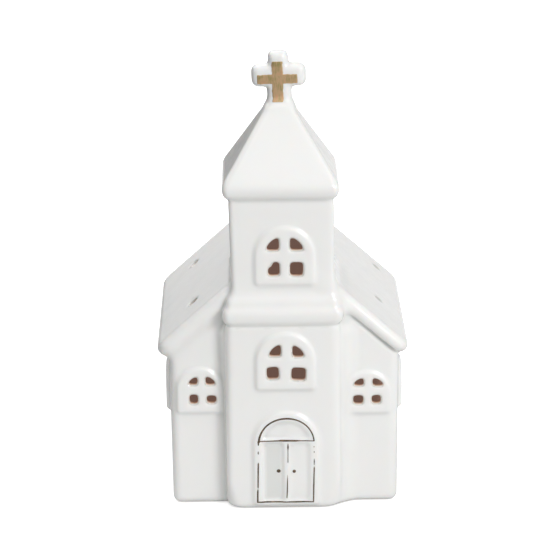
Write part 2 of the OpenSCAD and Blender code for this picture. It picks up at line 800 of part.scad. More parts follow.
module circuit_board() {
    color(board_colour) difference() {
        translate([0, nave_mid_y, board_z]) cylinder(h = board_t, r = board_r, $fn = fine_fn);
        for (s = [-1, 1]) {
            translate([s * post_x, post_y, board_z - over])
                cylinder(h = board_t + 2 * over, d = screw_d + 2 * screw_clear);
            for (p = [[s * led_pitch / 2, nave_mid_y], [resistor_x + s * resistor_span / 2, resistor_y]])
                translate([p.x, p.y, board_z - over]) cylinder(h = board_t + 2 * over, r = lead_hole_r);
        }
        for (p = wire_ends) translate([p.x, p.y, board_z - over])
            cylinder(h = board_t + 2 * over, r = wire_r + wire_gap);
    }
}

// A pan-head screw, its head's underside at the origin and its shank upwards or downwards
module small_screw(shank) {
    cylinder(h = head_h, r = head_r);
    mirror([0, 0, 1]) {
        translate([0, 0, -lap]) cylinder(h = shank - screw_d / 2 + lap, d = screw_d);
        translate([0, 0, shank - screw_d / 2]) cylinder(h = screw_d / 2, d1 = screw_d, d2 = screw_d / 3);
    }
}

// The same screw with a cross recess in its head
module driven_screw(shank) {
    arm = head_r * recess_share;
    bar = screw_d / 4;
    difference() {
        small_screw(shank);
        for (turn = [0, 90]) rotate(turn) translate([-arm, -bar / 2, head_h / 2])
            cube([2 * arm, bar, head_h]);
    }
}

module board_screws() {
    color(steel_colour) for (s = [-1, 1]) translate([s * post_x, post_y, board_top])
        driven_screw(board_t + screw_bite);
}

module led() {
    r = led_d / 2;
    color(lens_colour) translate([0, nave_mid_y, led_z]) rotate_extrude() {
        square([led_flange_d / 2, led_flange_h]);
        square([r, led_h - r]);
        intersection() {
            translate([0, led_h - r]) circle(r);
            square([r, led_h]);
        }
    }
}

module led_leads() {
    color(steel_colour) for (s = [-1, 1])
        boxed(s * led_pitch / 2, nave_mid_y, board_z - lead_tail, led_z, lead_w, lead_w);
}

resistor_span = resistor_len + 2 * resistor_d;
resistor_z = board_top + fit_gap + resistor_d / 2;

// A resistor on the board: a body with round shoulders, and leads bent down through the board
module resistor() {
    shoulder = resistor_d / 2;
    mid_len = resistor_len - resistor_d;
    bend_r = shoulder / 2;
    bend_x = resistor_span / 2 - bend_r;
    color(resistor_colour) translate([resistor_x, resistor_y, resistor_z]) {
        rotate([0, 90, 0]) rotate_extrude() intersection() {
            union() {
                translate([0, -mid_len / 2]) square([shoulder * resistor_waist_share, mid_len]);
                for (s = [-1, 1]) translate([0, s * mid_len / 2]) circle(shoulder);
            }
            translate([0, -resistor_len / 2]) square([shoulder, resistor_len]);
        }
        for (s = [-1, 1]) wire(concat([[s * mid_len / 2, 0, 0]],
            [for (i = [0:arc_steps]) let (a = 90 * i / arc_steps)
             [s * (bend_x + bend_r * sin(a)), 0, bend_r * (cos(a) - 1)]],
            [[s * resistor_span / 2, 0, board_z - lead_tail - resistor_z]]), resistor_lead_r, [0, 1, 0]);
    }
}

// The timer chip: a moulded block on four legs along each side
module timer_chip() {
    foot_t = leg_w / 2;
    color(dark_colour) {
        boxed(chip_x, chip_y, board_top + fit_gap, board_top + fit_gap + chip_h, chip_w, chip_len);
        for (s = [-1, 1], i = [-1.5:1.5]) {
            y = chip_y + i * leg_pitch;
            boxed(chip_x + s * (chip_w + leg_reach / 2) / 2, y, board_top + chip_h / 2,
                  board_top + chip_h / 2 + foot_t, leg_reach / 2 + lap, leg_w);
            boxed(chip_x + s * (chip_w / 2 + leg_reach / 2), y, board_top,
                  board_top + chip_h / 2 + foot_t, foot_t, leg_w);
            boxed(chip_x + s * (chip_w / 2 + leg_reach * 3 / 4), y, board_top, board_top + foot_t,
                  leg_reach / 2, leg_w);
        }
    }
}

module switch_case() {
    slot_len = stem_len + switch_travel + 2 * fit_gap;
    color(steel_colour) {
        difference() {
            boxed(0, switch_y, switch_z, switch_z + switch_h, switch_len, switch_w);
            boxed(0, switch_y, switch_z + switch_wall, switch_z + switch_h - switch_wall,
                  switch_len - 2 * switch_wall, switch_w - 2 * switch_wall);
            boxed(0, switch_y, switch_z - over, switch_z + switch_wall + over, slot_len,
                  stem_w + 2 * fit_gap);
        }
        for (i = [-1:1]) translate([i * led_pitch, switch_y, switch_z + switch_h - switch_wall / 2])
            cylinder(h = switch_pin_h + switch_wall / 2, d = switch_pin_d);
    }
}

// The knob rests at the off end of its travel: a stem with grip grooves, under a wider shoe
module switch_knob() {
    x = -switch_travel / 2;
    shoe_z = switch_z + switch_wall + fit_gap;
    groove = stem_len / 6;
    color(dark_colour) {
        difference() {
            boxed(x, switch_y, flange_low - stem_reach, shoe_z + shoe_t / 2, stem_len, stem_w);
            for (i = [-1:1]) boxed(x + i * 2 * groove, switch_y, flange_low - stem_reach - over,
                                   flange_low - stem_reach + groove, groove, stem_w + over);
        }
        boxed(x, switch_y, shoe_z, shoe_z + shoe_t, shoe_len, shoe_w);
    }
}

// One button cell on its side: a can with a round edge, and the smaller cap that it is crimped on
module button_cell() {
    cap_h = cell_h * cell_cap_share;
    edge = cell_h * cell_edge_share;
    cap_r = cell_d / 2 * cell_seal_share;
    rotate([0, 90, 0]) rotate_extrude() polygon([
        [0, 0], [cell_d / 2 - edge, 0], [cell_d / 2, edge], [cell_d / 2, cell_h - cap_h - edge],
        [cell_d / 2 - edge, cell_h - cap_h], [cap_r + edge / 2, cell_h - cap_h], [cap_r, cell_h],
        [0, cell_h]]);
}

module button_cells() {
    color(steel_colour) for (i = [0:cell_count - 1])
        translate([first_cell_x + i * (cell_h + cell_gap), row_y, cell_z]) button_cell();
}

spring_plate_x = -box_len / 2 + fit_gap;
flat_plate_x = box_len / 2 - fit_gap - contact_t;

// A contact plate in the end of the battery box, with the tab that its wire is soldered to
module contact_plate(x) {
    w = box_w * contact_w_share;
    boxed(x + contact_t / 2, row_y, cell_z - w / 2, cell_z + w / 2, contact_t, w);
    boxed(x + contact_t / 2, row_y, cell_z, tab_top, contact_t, tab_w);
}

module spring_contact() {
    from = spring_plate_x + contact_t - spring_wire_r / 2;
    to = first_cell_x - fit_gap / 2 - spring_wire_r;
    steps = spring_turns * spring_steps;
    path = [for (i = [0:steps]) let (t = i / steps, a = 360 * i / spring_steps,
            r = cell_d * (spring_wide_share + (spring_narrow_share - spring_wide_share) * t))
            [from + (to - from) * t, row_y + r * cos(a), cell_z + r * sin(a)]];
    color(steel_colour) {
        contact_plate(spring_plate_x);
        wire(path, spring_wire_r, [1, 0, 0], 6);
    }
}

module plate_contact() {
    color(steel_colour) contact_plate(flat_plate_x);
}

// Where the four wires come up through the board
wire_ends = [
    [spring_plate_x + contact_t / 2, row_y + tab_w], [flat_plate_x + contact_t / 2, row_y + tab_w],
    [-led_pitch, switch_y - switch_w], [0, switch_y - switch_w]
];

// Four short wires: two from the contacts' tabs and two from the switch's pins, up through the board
module lead_wires() {
    tab_side = tab_w / 2 + wire_gap + wire_r;
    starts = [
        [wire_ends[0].x, row_y + tab_side, tab_top - tab_rise / 2],
        [wire_ends[1].x, row_y + tab_side, tab_top - tab_rise / 2],
        [-led_pitch, switch_y, switch_z + switch_h + switch_pin_h + wire_gap],
        [0, switch_y, switch_z + switch_h + switch_pin_h + wire_gap]
    ];
    color(dark_colour) for (i = [0:len(starts) - 1]) {
        a = starts[i];
        d = [wire_ends[i].x, wire_ends[i].y, board_top + wire_r];
        rise = (board_z - a.z) / 2;
        wire(concat([for (t = [0:1 / arc_steps:1]) smooth(a, a + [0, 0, rise],
                    [d.x, d.y, board_z - rise], [d.x, d.y, board_z], t)], [d]), wire_r, [1, 0, 0]);
    }
}

// The battery door: a flat plate with a hinge bead and two pins at one end, a screw tab at the other
module battery_door() {
    color(plastic_colour) difference() {
        union() {
            translate([0, 0, flange_low]) linear_extrude(door_t) door_outline(0);
            translate([hinge_x, row_y, hinge_z]) rotate([90, 0, 0]) {
                cylinder(h = box_w, r = bead_r, center = true);
                cylinder(h = box_w + 2 * pin_len, r = hinge_pin_r, center = true);
            }
        }
        translate([screw_x, row_y, flange_low - over]) {
            cylinder(h = door_t + 2 * over, r = screw_hole_r);
            cylinder(h = head_h + over, r = head_r + screw_clear);
        }
    }
}

module door_screw() {
    color(steel_colour) translate([screw_x, row_y, flange_low + head_h]) mirror([0, 0, 1])
        driven_screw(door_t - head_h + screw_bite);
}

church_shell();
gold_cross();
gold_door_lines();
gold_door_knobs();
light_base();
grip_ring();
frosted_cover();
circuit_board();
board_screws();
led();
led_leads();
resistor();
timer_chip();
switch_case();
switch_knob();
button_cells();
spring_contact();
plate_contact();
lead_wires();
battery_door();
door_screw();
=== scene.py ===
# Looks of the lit porcelain village church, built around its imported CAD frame.
# Sizes are in millimetres, as in the part's source, and become metres where a mesh is made. The studio's
# floor and lamps are given in metres.
# Front is towards -Y, +Z is up, and the origin lies under the middle of the piece.
import math

import bmesh
import bpy
import numpy as np
from mathutils import Matrix, Vector


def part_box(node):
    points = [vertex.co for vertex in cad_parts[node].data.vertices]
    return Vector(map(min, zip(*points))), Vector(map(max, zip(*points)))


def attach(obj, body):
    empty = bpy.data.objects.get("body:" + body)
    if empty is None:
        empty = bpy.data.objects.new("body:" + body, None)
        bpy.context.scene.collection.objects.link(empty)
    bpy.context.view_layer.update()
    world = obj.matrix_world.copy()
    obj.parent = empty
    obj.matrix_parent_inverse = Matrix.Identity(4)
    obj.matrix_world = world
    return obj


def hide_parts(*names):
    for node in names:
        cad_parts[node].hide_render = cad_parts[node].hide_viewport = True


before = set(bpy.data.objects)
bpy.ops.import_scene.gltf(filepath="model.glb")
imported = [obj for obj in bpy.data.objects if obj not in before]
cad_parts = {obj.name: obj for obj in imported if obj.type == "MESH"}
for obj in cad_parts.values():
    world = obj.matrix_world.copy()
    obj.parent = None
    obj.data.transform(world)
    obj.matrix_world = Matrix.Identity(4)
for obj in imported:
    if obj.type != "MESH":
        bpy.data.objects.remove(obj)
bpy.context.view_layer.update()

MM = 0.001

# Nave and roof. The shell's own box gives the eaves and the rear verge.
shell_high = [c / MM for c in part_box("church_shell")[1]]
ROOF_PITCH, SLAB, EAVE_REACH, VERGE_REACH = math.radians(41.4), 6.9, 5.0, 2.8
NAVE_HALF, NAVE_DEPTH, NAVE_WALL_TOP = shell_high[0] - EAVE_REACH, 105, 71.8
NAVE_REAR = shell_high[1] - VERGE_REACH
NAVE_FRONT = NAVE_REAR - NAVE_DEPTH
NAVE_MID = (NAVE_FRONT + NAVE_REAR) / 2
NAVE_CORNER, WALL = 4.0, 3.5
FOOT_DEPTH, FOOT_RIM, LIGHT_HOLE = 4.0, 5.0, 21.5
# The walls as they stand after drying: a little to the right, and further apart at the top
NAVE_LEAN, FOOT_HALF, SPLAY, ROOF_LEAN = 0.9, 51.8, 0.7, 0.35

# Tower, spire and cross
TOWER_Y, LOWER_HALF, UPPER_HALF = NAVE_FRONT + 17.9, 26.4, 23.9
COURSE_Z, COURSE_TOP = 88.7, 103.5
CAP_Z, SPIRE_Z, SPIRE_HALF, SPIRE_TOP, SPIRE_RISE = 147.0, 158.2, 22.9, 6.1, 26.6
NECK_Z = SPIRE_Z + SPIRE_RISE
# How far the tower's left side has drawn in, by height
LEFT_DRAWN_IN = (0, COURSE_Z - 3, COURSE_Z + 4, 106, CAP_Z - 5, CAP_Z), (0.5, 0.2, 0.8, 1.3, 0.5, 0.0)
CROSS_HEAD, CROSS_NECK, CROSS_ARM, CROSS_ARM_H = 9.4, 11.4, 25.0, 10.8
CROSS_ARM_Z, CROSS_RISE, CROSS_T = 8.4, 25.2, 8.0
CROSS_LEAN, CROSS_TURN = math.radians(2), math.radians(4)

# Windows and door: width, height of the sides, pane width, mullion, lower pane, its foot, transom
TOWER_WINDOW = (27.2, 13.7, 6.3, 4.6, 6.8, 4.2, 5.0)
NAVE_WINDOW = (21.0, 11.4, 4.7, 3.4, 5.3, 4.4, 4.4)
RELIEF, SIDE_RELIEF, FRONT_SHIFT = 1.2, 2.0, 1.4
UPPER_SILL, LOWER_SILL, NAVE_SILL, NAVE_WINDOW_X, SIDE_PITCH = 107.0, 58.0, 43.6, 38.0, 35.0
DOOR_W, DOOR_FOOT, DOOR_SIDE = 30.2, 2.2, 30.2
# The sunk leaves of the door: their middles across and up, half their width and half their height
LEAF_X, LEAF_MID, LEAF_HALF, LEAF_HALF_HIGH = 5.9, 16.2, 4.6, 14.1
UPPER_FACE, LOWER_FACE = TOWER_Y - UPPER_HALF, TOWER_Y - LOWER_HALF

# Spacing and corners of the grid that the porcelain is worked out on
STEP = 0.6
GRID_LOW, GRID_HIGH = (-59.2, -61, -2.4), (59.2, 61, 212.4)


def out_of(*gaps):
    """Distance past several faces together, zero where a point is inside them all."""
    return np.sqrt(sum(np.maximum(g, 0) ** 2 for g in gaps))


def rect(u, v, half_u, half_v, corner):
    """Signed distance to a rectangle with round corners."""
    a, b = np.abs(u) - half_u + corner, np.abs(v) - half_v + corner
    return out_of(a, b) + np.minimum(np.maximum(a, b), 0) - corner


def both(a, b, edge=0.0):
    """What two shapes share, with the edge between them rounded."""
    return out_of(a + edge, b + edge) + np.minimum(np.maximum(a, b) + edge, 0) - edge


def melt(a, b, crease):
    """Two shapes as one, the crease between them filled with glaze."""
    h = np.clip(0.5 + 0.5 * (b - a) / crease, 0, 1)
    return b + (a - b) * h - crease * h * (1 - h)


def arch(u, v, width, side, corner=1.4):
    """Signed distance to an upright arch that stands on v = 0."""
    half = width / 2
    a, b = np.abs(u) - half + corner, corner - v
    low = out_of(a, b) + np.minimum(np.maximum(a, b), 0) - corner
    return np.where(v < side, low, np.hypot(u, v - side) - half)


def outline_distance(points, u, v):
    """Signed distance to a closed outline, at every pair of u and v."""
    pu, pv = u[:, None], v[None, :]
    nearest = np.full((len(u), len(v)), 1e9)
    inside = np.zeros(nearest.shape, bool)
    for (au, av), (bu, bv) in zip(points, points[1:] + points[:1]):
        du, dv = bu - au, bv - av
        t = np.clip(((pu - au) * du + (pv - av) * dv) / max(du * du + dv * dv, 1e-9), 0, 1)
        nearest = np.minimum(nearest, (pu - au - t * du) ** 2 + (pv - av - t * dv) ** 2)
        if av != bv:
            inside ^= ((av > pv) != (bv > pv)) & (pu < au + (pv - av) * du / dv)
    return np.where(inside, -1, 1) * np.sqrt(nearest)


class Clay:
    """A box of space that holds the signed distance to a surface, on an even grid."""

    def __init__(self, low, high, step):
        self.low, self.step = np.array(low, float), step
        count = [math.ceil((b - a) / step) + 1 for a, b in zip(low, high)]
        self.axes = [a + step * np.arange(n, dtype=np.float32) for a, n in zip(low, count)]
        self.field = np.full(count, 40, np.float32)

    def part(self, low, high):
        """The field inside a box, and the x, y and z of its points."""
        spans = [slice(max(0, math.floor((a - o) / self.step)), max(0, math.ceil((b - o) / self.step) + 1))
                 for a, b, o in zip(low, high, self.low)]
        x, y, z = (axis[s] for axis, s in zip(self.axes, spans))
        return self.field[spans[0], spans[1], spans[2]], x[:, None, None], y[None, :, None], z[None, None, :]

    def add(self, low, high, shape, crease):
        """Joins a shape on inside a box, its crease as wide as given, or as a function of x says."""
        field, x, y, z = self.part(low, high)
        field[...] = melt(field, shape(x, y, z), crease(x) if callable(crease) else crease)

    def carve(self, low, high, shape, edge):
        """Cuts a shape away inside a box, with its edge rounded."""
        field, x, y, z = self.part(low, high)
        field[...] = -melt(-field, shape(x, y, z), edge)

    def soften(self, sigma):
        """Rounds every edge and fills every crease alike, as glaze does."""
        reach = max(1, round(2.2 * sigma / self.step))
        weights = np.exp(-0.5 * (np.arange(reach + 1) * self.step / sigma) ** 2)
        weights /= weights[0] + 2 * weights[1:].sum()
        for axis in range(3):
            margin = [(reach, reach) if i == axis else (0, 0) for i in range(3)]
            padded = np.pad(self.field, margin, mode="edge")
            size = self.field.shape[axis]
            total = np.zeros_like(self.field)
            for k in range(-reach, reach + 1):
                cut = [slice(None)] * 3
                cut[axis] = slice(reach + k, reach + k + size)
                total += np.float32(weights[abs(k)]) * padded[tuple(cut)]
            self.field = total

    def at(self, points, field=None):
        """The field between its grid points, for rows of x, y and z."""
        field = self.field if field is None else field
        place = (points - self.low) / self.step
        cell = np.clip(np.floor(place).astype(int), 0, np.array(field.shape) - 2)
        f = place - cell
        total = np.zeros(len(points))
        for corner in range(8):
            d = np.array([corner & 1, corner >> 1 & 1, corner >> 2])
            share = np.prod(np.where(d, f, 1 - f), axis=1)
            i, j, k = (cell + d).T
            total += share * field[i, j, k]
        return total

    def slope(self, points, field=None):
        """The direction in which the field grows, of length 1."""
        h = self.step * 0.7
        rows = [self.at(points + h * e, field) - self.at(points - h * e, field) for e in np.eye(3)]
        grad = np.stack(rows, 1)
        return grad / np.maximum(np.linalg.norm(grad, axis=1, keepdims=True), 1e-9)

    def skin(self):
        """Corners and four-sided faces of the surface where the field is zero."""
        field, inside = self.field, self.field < 0
        cells = np.array(field.shape) - 1

        def fold(c):
            return (c[:, 0] * cells[1] + c[:, 1]) * cells[2] + c[:, 2]

        ids, hits, faces = [], [], []
        for axis in range(3):
            step = np.eye(3, dtype=int)[axis]
            u, v = (np.eye(3, dtype=int)[(axis + n) % 3] for n in (1, 2))
            first = [slice(0, -1) if i == axis else slice(1, -1) for i in range(3)]
            second = [slice(1, None) if i == axis else slice(1, -1) for i in range(3)]
            start = np.argwhere(inside[tuple(first)] != inside[tuple(second)]) + 1 - step
            a, b = field[tuple(start.T)], field[tuple((start + step).T)]
            hit = start + (a / (a - b))[:, None] * step
            ring = [fold(start - u - v), fold(start - v), fold(start), fold(start - u)]
            quad = np.stack(ring, 1)
            quad[a > 0] = quad[a > 0][:, ::-1]
            faces.append(quad)
            for r in ring:
                ids.append(r)
                hits.append(hit)
        ids, hits, faces = np.concatenate(ids), np.concatenate(hits), np.concatenate(faces)
        used, index = np.unique(ids, return_inverse=True)
        number = np.bincount(index)
        corners = np.stack([np.bincount(index, hits[:, i]) / number for i in range(3)], 1)
        corners = corners * self.step + self.low
        for _ in range(3):
            corners -= self.at(corners)[:, None] * self.slope(corners) * 0.9
        return corners, np.searchsorted(used, faces)


def mesh_piece(name, corners, faces, share=1.0):
    """A Blender mesh from corners in millimetres. A share below 1 keeps that part of its faces."""
    data = bpy.data.meshes.new(name)
    data.vertices.add(len(corners))
    data.vertices.foreach_set("co", (np.asarray(corners) * MM).astype(np.float32).ravel())
    sides = faces.shape[1]
    data.loops.add(faces.size)
    data.loops.foreach_set("vertex_index", faces.astype(np.int32).ravel())
    data.polygons.add(len(faces))
    data.polygons.foreach_set("loop_start", np.arange(0, faces.size, sides, dtype=np.int32))
    data.update(calc_edges=True)
    data.validate()
    piece = bpy.data.objects.new(name, data)
    bpy.context.scene.collection.objects.link(piece)
    if share < 1:
        thin = piece.modifiers.new("fewer faces", "DECIMATE")
        thin.ratio = share
        bpy.context.view_layer.objects.active = piece
        bpy.ops.object.modifier_apply(modifier=thin.name)
    piece.data.shade_smooth()
    return piece


def corners_of(piece):
    """The corners of a mesh, in millimetres."""
    co = np.empty(len(piece.data.vertices) * 3, np.float32)
    piece.data.vertices.foreach_get("co", co)
    return co.reshape(-1, 3).astype(float) / MM


def note(piece, name, values):
    """Writes one number at each corner of a mesh, which its material reads."""
    layer = piece.data.attributes.new(name, "FLOAT", "POINT")
    layer.data.foreach_set("value", np.asarray(values, np.float32))


def tower_outline():
    """The tower's outline from its foot to the spire's top: half width, height and corner radius."""
    foot_round, foot_corner = 2.8, 6.0
    rows = [(LOWER_HALF - foot_round * (1 - math.sin(a)), foot_round * (1 - math.cos(a)), foot_corner)
            for a in np.linspace(0, math.pi / 2, 5)]
    rows.append((LOWER_HALF, 12, 3.0))
    # The course, from a groove under its roll, over the roll and a smaller step, to the cove above
    course = [(-0.2, -1.3), (-1.1, -0.5), (-1.0, -0.1), (0.1, 0.3), (0.55, 0.9), (0.95, 1.8),
              (1.2, 3.0), (1.3, 4.2), (1.25, 5.4), (1.05, 6.4), (0.65, 7.2), (0.2, 7.9), (-0.1, 8.7),
              (-0.3, 9.8), (-0.5, 11.0), (-0.85, 12.0), (-1.4, 12.9), (-1.95, 13.9), (-2.3, 15.5),
              (-2.45, 18.0)]
    rows += [(LOWER_HALF + out, COURSE_Z + up, 3.4 - up / 12) for out, up in course]
    # The cap: a groove under it, a bulge, and a round shoulder that runs on into the spire's slope
    cap = [(0, -4), (-0.4, -1.0), (-0.35, -0.3), (0.7, 0.1), (1.5, 1.0), (2.1, 2.4), (2.4, 4.0),
           (2.3, 5.4), (1.9, 6.8), (1.2, 8.2)]
    rows += [(UPPER_HALF + out, CAP_Z + up, 2.0 + up / 8) for out, up in cap]
    rows.append((SPIRE_TOP, NECK_Z, 1.6))
    return rows


def tower(x, y, z):
    """Signed distance to the tower and its spire. The sides of its lower stage draw out towards the nave,
    the left one only near its top, and the whole left side has drawn in a little on drying."""
    rows = tower_outline()
    half, height, radius = (np.array(c) for c in zip(*rows))
    fine = 0.25
    us, vs = np.arange(0, 40, fine), np.arange(-4, NECK_Z + 6, fine)
    table = outline_distance([(0, 0)] + [(a, b) for a, b, _ in rows] + [(0, NECK_Z)], us, vs)
    table[0] = table[1]
    w = np.interp(z, height, half).astype(np.float32)
    r = np.minimum(np.interp(z, height, radius), w * 0.8).astype(np.float32)
    back = np.clip((y - LOWER_FACE - 1) / 8, 0, 1) ** 2.4 * np.clip((COURSE_Z - 1 - z) / 5, 0, 1)
    up = np.clip(z / COURSE_Z, 0, 1)
    wider = back * np.where(x < 0, 3.9 * up ** 2, 2.0 + 2.8 * up)
    drawn_in = np.where(x < 0, np.interp(z, *LEFT_DRAWN_IN), 0)
    n = rect(np.maximum(np.abs(x) - wider, 0) + drawn_in, y - TOWER_Y, w, w, r) + w
    a = np.clip(n / fine, 0, len(us) - 1.001)
    b = np.clip((np.broadcast_to(z, n.shape) + 4) / fine, 0, len(vs) - 1.001)
    i, j = a.astype(np.int32), b.astype(np.int32)
    a, b = a - i, b - j
    table = table.astype(np.float32)
    return ((table[i, j] * (1 - a) + table[i + 1, j] * a) * (1 - b)
            + (table[i, j + 1] * (1 - a) + table[i + 1, j + 1] * a) * b)


def across_nave(x, z):
    """How far out of the nave's middle a point is, told by the walls' own lean and splay."""
    half = FOOT_HALF + SPLAY * np.clip(z / NAVE_WALL_TOP, 0, 1)
    return np.abs(x - NAVE_LEAN) * NAVE_HALF / half


def nave(x, y, z):
    """The walls with their gables, up to half the thickness of the roof slabs."""
    eave = NAVE_WALL_TOP + SLAB / 2 / math.cos(ROOF_PITCH)
    out = across_nave(x, z)
    plan = rect(out, y - NAVE_MID, NAVE_HALF, NAVE_DEPTH / 2, NAVE_CORNER)
    slope = (z - eave - (NAVE_HALF - out) * math.tan(ROOF_PITCH)) * math.cos(ROOF_PITCH)
    return both(both(plan, -z, 3.0), slope)


def roof_slabs(x, y, z):
    """Both slopes: thick slabs with round edges and rounder corners, and a soft ridge."""
    r, ridge_round, corner = SLAB / 2, 1.5, 3.0
    run = (NAVE_HALF + EAVE_REACH - ROOF_LEAN - r) / math.cos(ROOF_PITCH)
    ridge = NAVE_WALL_TOP + r / math.cos(ROOF_PITCH) + NAVE_HALF * math.tan(ROOF_PITCH)
    out = np.hypot(x - ROOF_LEAN, ridge_round)
    u = out * math.cos(ROOF_PITCH) - (z - ridge) * math.sin(ROOF_PITCH)
    w = out * math.sin(ROOF_PITCH) + (z - ridge) * math.cos(ROOF_PITCH)
    plate = rect(u, y - NAVE_MID, run, NAVE_DEPTH / 2 + VERGE_REACH - r, corner)
    return out_of(plate, np.abs(w)) - r


def under_verge(x, y, z):
    """The sharp corner that the mould leaves under the right verge, wider towards the eave."""
    below = (z - NAVE_WALL_TOP - (NAVE_HALF - x) * math.tan(ROOF_PITCH)) * math.cos(ROOF_PITCH)
    radius = np.interp(x, (30, 52), (0.8, 1.25))
    return out_of(np.abs(below + 0.1), np.abs(y - NAVE_FRONT + 0.2)) - radius


def cross_frame(x, y, z):
    """A point's place on the cross: across, back and up."""
    y, z = y - TOWER_Y, z - NECK_Z
    c, s = math.cos(CROSS_TURN), math.sin(CROSS_TURN)
    x, y = x * c - y * s, x * s + y * c
    c, s = math.cos(CROSS_LEAN), math.sin(CROSS_LEAN)
    return x * c + z * s, y, z * c - x * s


def cross(x, y, z):
    """The cross: a thick plate, widest at the mould's seam half way back, with round edges."""
    u, v, w = cross_frame(x, y, z)
    u = u - 0.4
    mid, high = (CROSS_RISE - CROSS_T) / 2, (CROSS_RISE + CROSS_T) / 2
    half = np.interp(w, (CROSS_ARM_Z, CROSS_ARM_Z + CROSS_ARM_H), (CROSS_NECK / 2, CROSS_HEAD / 2))
    upright = rect(u, w - mid, half, high, 2.6)
    arms = rect(u, w - CROSS_ARM_Z - CROSS_ARM_H / 2, CROSS_ARM / 2, CROSS_ARM_H / 2, 3.4)
    return both(melt(upright, arms, 1.2) + 0.25 * np.abs(v), np.abs(v) - CROSS_T / 2, 1.7)


def hollow(x, y, z):
    """The space that pouring the slip out leaves inside."""
    floor = FOOT_DEPTH + WALL - z
    out = across_nave(x, z)
    plan = rect(out, y - NAVE_MID, NAVE_HALF - WALL, NAVE_DEPTH / 2 - WALL, 2.0)
    under = NAVE_WALL_TOP + (SLAB - WALL) / math.cos(ROOF_PITCH)
    slope = (z - under - (NAVE_HALF - out) * math.tan(ROOF_PITCH)) * math.cos(ROOF_PITCH)
    body = both(both(plan, floor), slope)
    low = both(rect(x, y - TOWER_Y, LOWER_HALF - WALL, LOWER_HALF - WALL, 2.0),
               np.maximum(floor, z - COURSE_TOP + WALL))
    tilt = math.atan2(SPIRE_HALF - SPIRE_TOP, SPIRE_RISE)
    across = np.maximum(np.abs(x), np.abs(y - TOWER_Y))
    spire = (across - SPIRE_HALF + (z - SPIRE_Z) * math.tan(tilt)) * math.cos(tilt) + WALL
    high = np.maximum(both(rect(x, y - TOWER_Y, UPPER_HALF - WALL, UPPER_HALF - WALL, 1.5), floor), spire)
    return np.minimum(np.minimum(body, low), high)


def foot_recess(x, y, z):
    """The recess under the foot, and the round hole through the floor for the light unit."""
    plan = np.minimum(
        rect(x - NAVE_LEAN, y - NAVE_MID, NAVE_HALF - FOOT_RIM, NAVE_DEPTH / 2 - FOOT_RIM, NAVE_CORNER),
        rect(x, y - TOWER_Y, LOWER_HALF - FOOT_RIM, LOWER_HALF - FOOT_RIM, 3.0))
    hole = np.maximum(np.hypot(x, y - NAVE_MID) - LIGHT_HOLE, z - 12)
    return both(np.minimum(both(plan, z - FOOT_DEPTH), hole), -3 - z)


# The four front windows: the place of the foot, the sizes, and how each pane was cut by hand, from
# lower left to upper right: moved across, moved up, turned, grown across and grown up
FRONT_WINDOWS = [
    (FRONT_SHIFT, UPPER_FACE, UPPER_SILL, TOWER_WINDOW,
     [(0.69, 0.1, 0.02, -0.6, -0.3), (-0.1, -0.1, -0.02, -0.3, -0.3), (-0.1, 0.35, 0, -0.05, 0),
      (0.45, 0.35, 0, 0.1, 0)]),
    (FRONT_SHIFT, LOWER_FACE, LOWER_SILL, TOWER_WINDOW,
     [(-0.15, 0.55, 0.05, -0.5, -0.6), (0.3, 0.0, -0.05, 0, -0.5), (0.3, 0.15, 0, -0.1, -0.25),
      (0.75, -0.2, 0.03, -0.3, -0.2)]),
    (-NAVE_WINDOW_X, NAVE_FRONT, NAVE_SILL + 0.9, NAVE_WINDOW,
     [(1.5, -0.4, 0.02, -0.5, -0.45), (1.4, -0.5, -0.03, -0.2, -0.9), (1.1, -0.5, -0.05, -0.3, 0.7),
      (1.3, -0.5, 0.04, 0.0, 0.7)]),
    (NAVE_WINDOW_X + 0.6, NAVE_FRONT, NAVE_SILL - 0.3, (22.2, 9.5) + NAVE_WINDOW[2:],
     [(0.2, -0.4, 0, -0.1, -0.65), (0.45, -0.3, 0.03, -0.3, -0.75), (0.33, -0.68, 0, 0, 2.1),
      (1.15, -0.92, 0, 0.1, 2.3)])]
# How far the glaze rounds every edge
GLAZE_ROUND = 0.7
# A bead of glaze that ran into the lower left pane of the upper window: across, up and radius
GLAZE_BEAD = (-6.6, 9.6, 1.5)

# Vents: side, share of the half width out from the ridge, share of the length, radius and depth.
# Only the front left one goes through. Glaze has closed the rear left one, and it has all but filled
# the two on the right.
VENTS = [(-1, 0.78, 0.21, 2.2, 9), (-1, 0.79, 0.82, 2.1, 1.6),
         (1, 0.87, 0.34, 1.9, 0.5), (1, 0.9, 0.89, 1.9, 0.5)]


def windows():
    """Each window's box, sizes and cuts, and what turns a point into across, up and out of its wall."""
    hand = np.random.default_rng(11)
    rows = [((wx, wy, wz), (0, -1), sizes, cuts) for wx, wy, wz, sizes, cuts in FRONT_WINDOWS]
    for side in (-1, 1):
        wall = side * (FOOT_HALF + SPLAY * 0.75) + NAVE_LEAN
        for i in (-1, 0, 1):
            cuts = hand.uniform(-1, 1, (4, 5)) * (0.3, 0.2, 0.05, 0.25, 0.25)
            rows.append(((wall, NAVE_MID + i * SIDE_PITCH, NAVE_SILL), (side, 0), NAVE_WINDOW, cuts))
    for (wx, wy, wz), (fx, fy), sizes, cuts in rows:
        def place(x, y, z, wx=wx, wy=wy, wz=wz, fx=fx, fy=fy):
            return (x - wx) * -fy + (y - wy) * fx, z - wz, (x - wx) * fx + (y - wy) * fy
        margin, reach = 4, 7
        width, side = sizes[0] / 2 + margin, sizes[1] + sizes[0] / 2
        dx, dy = abs(fy) * width + abs(fx) * reach, abs(fx) * width + abs(fy) * reach
        low, high = (wx - dx, wy - dy, wz - margin), (wx + dx, wy + dy, wz + side + margin)
        yield low, high, sizes, cuts, place


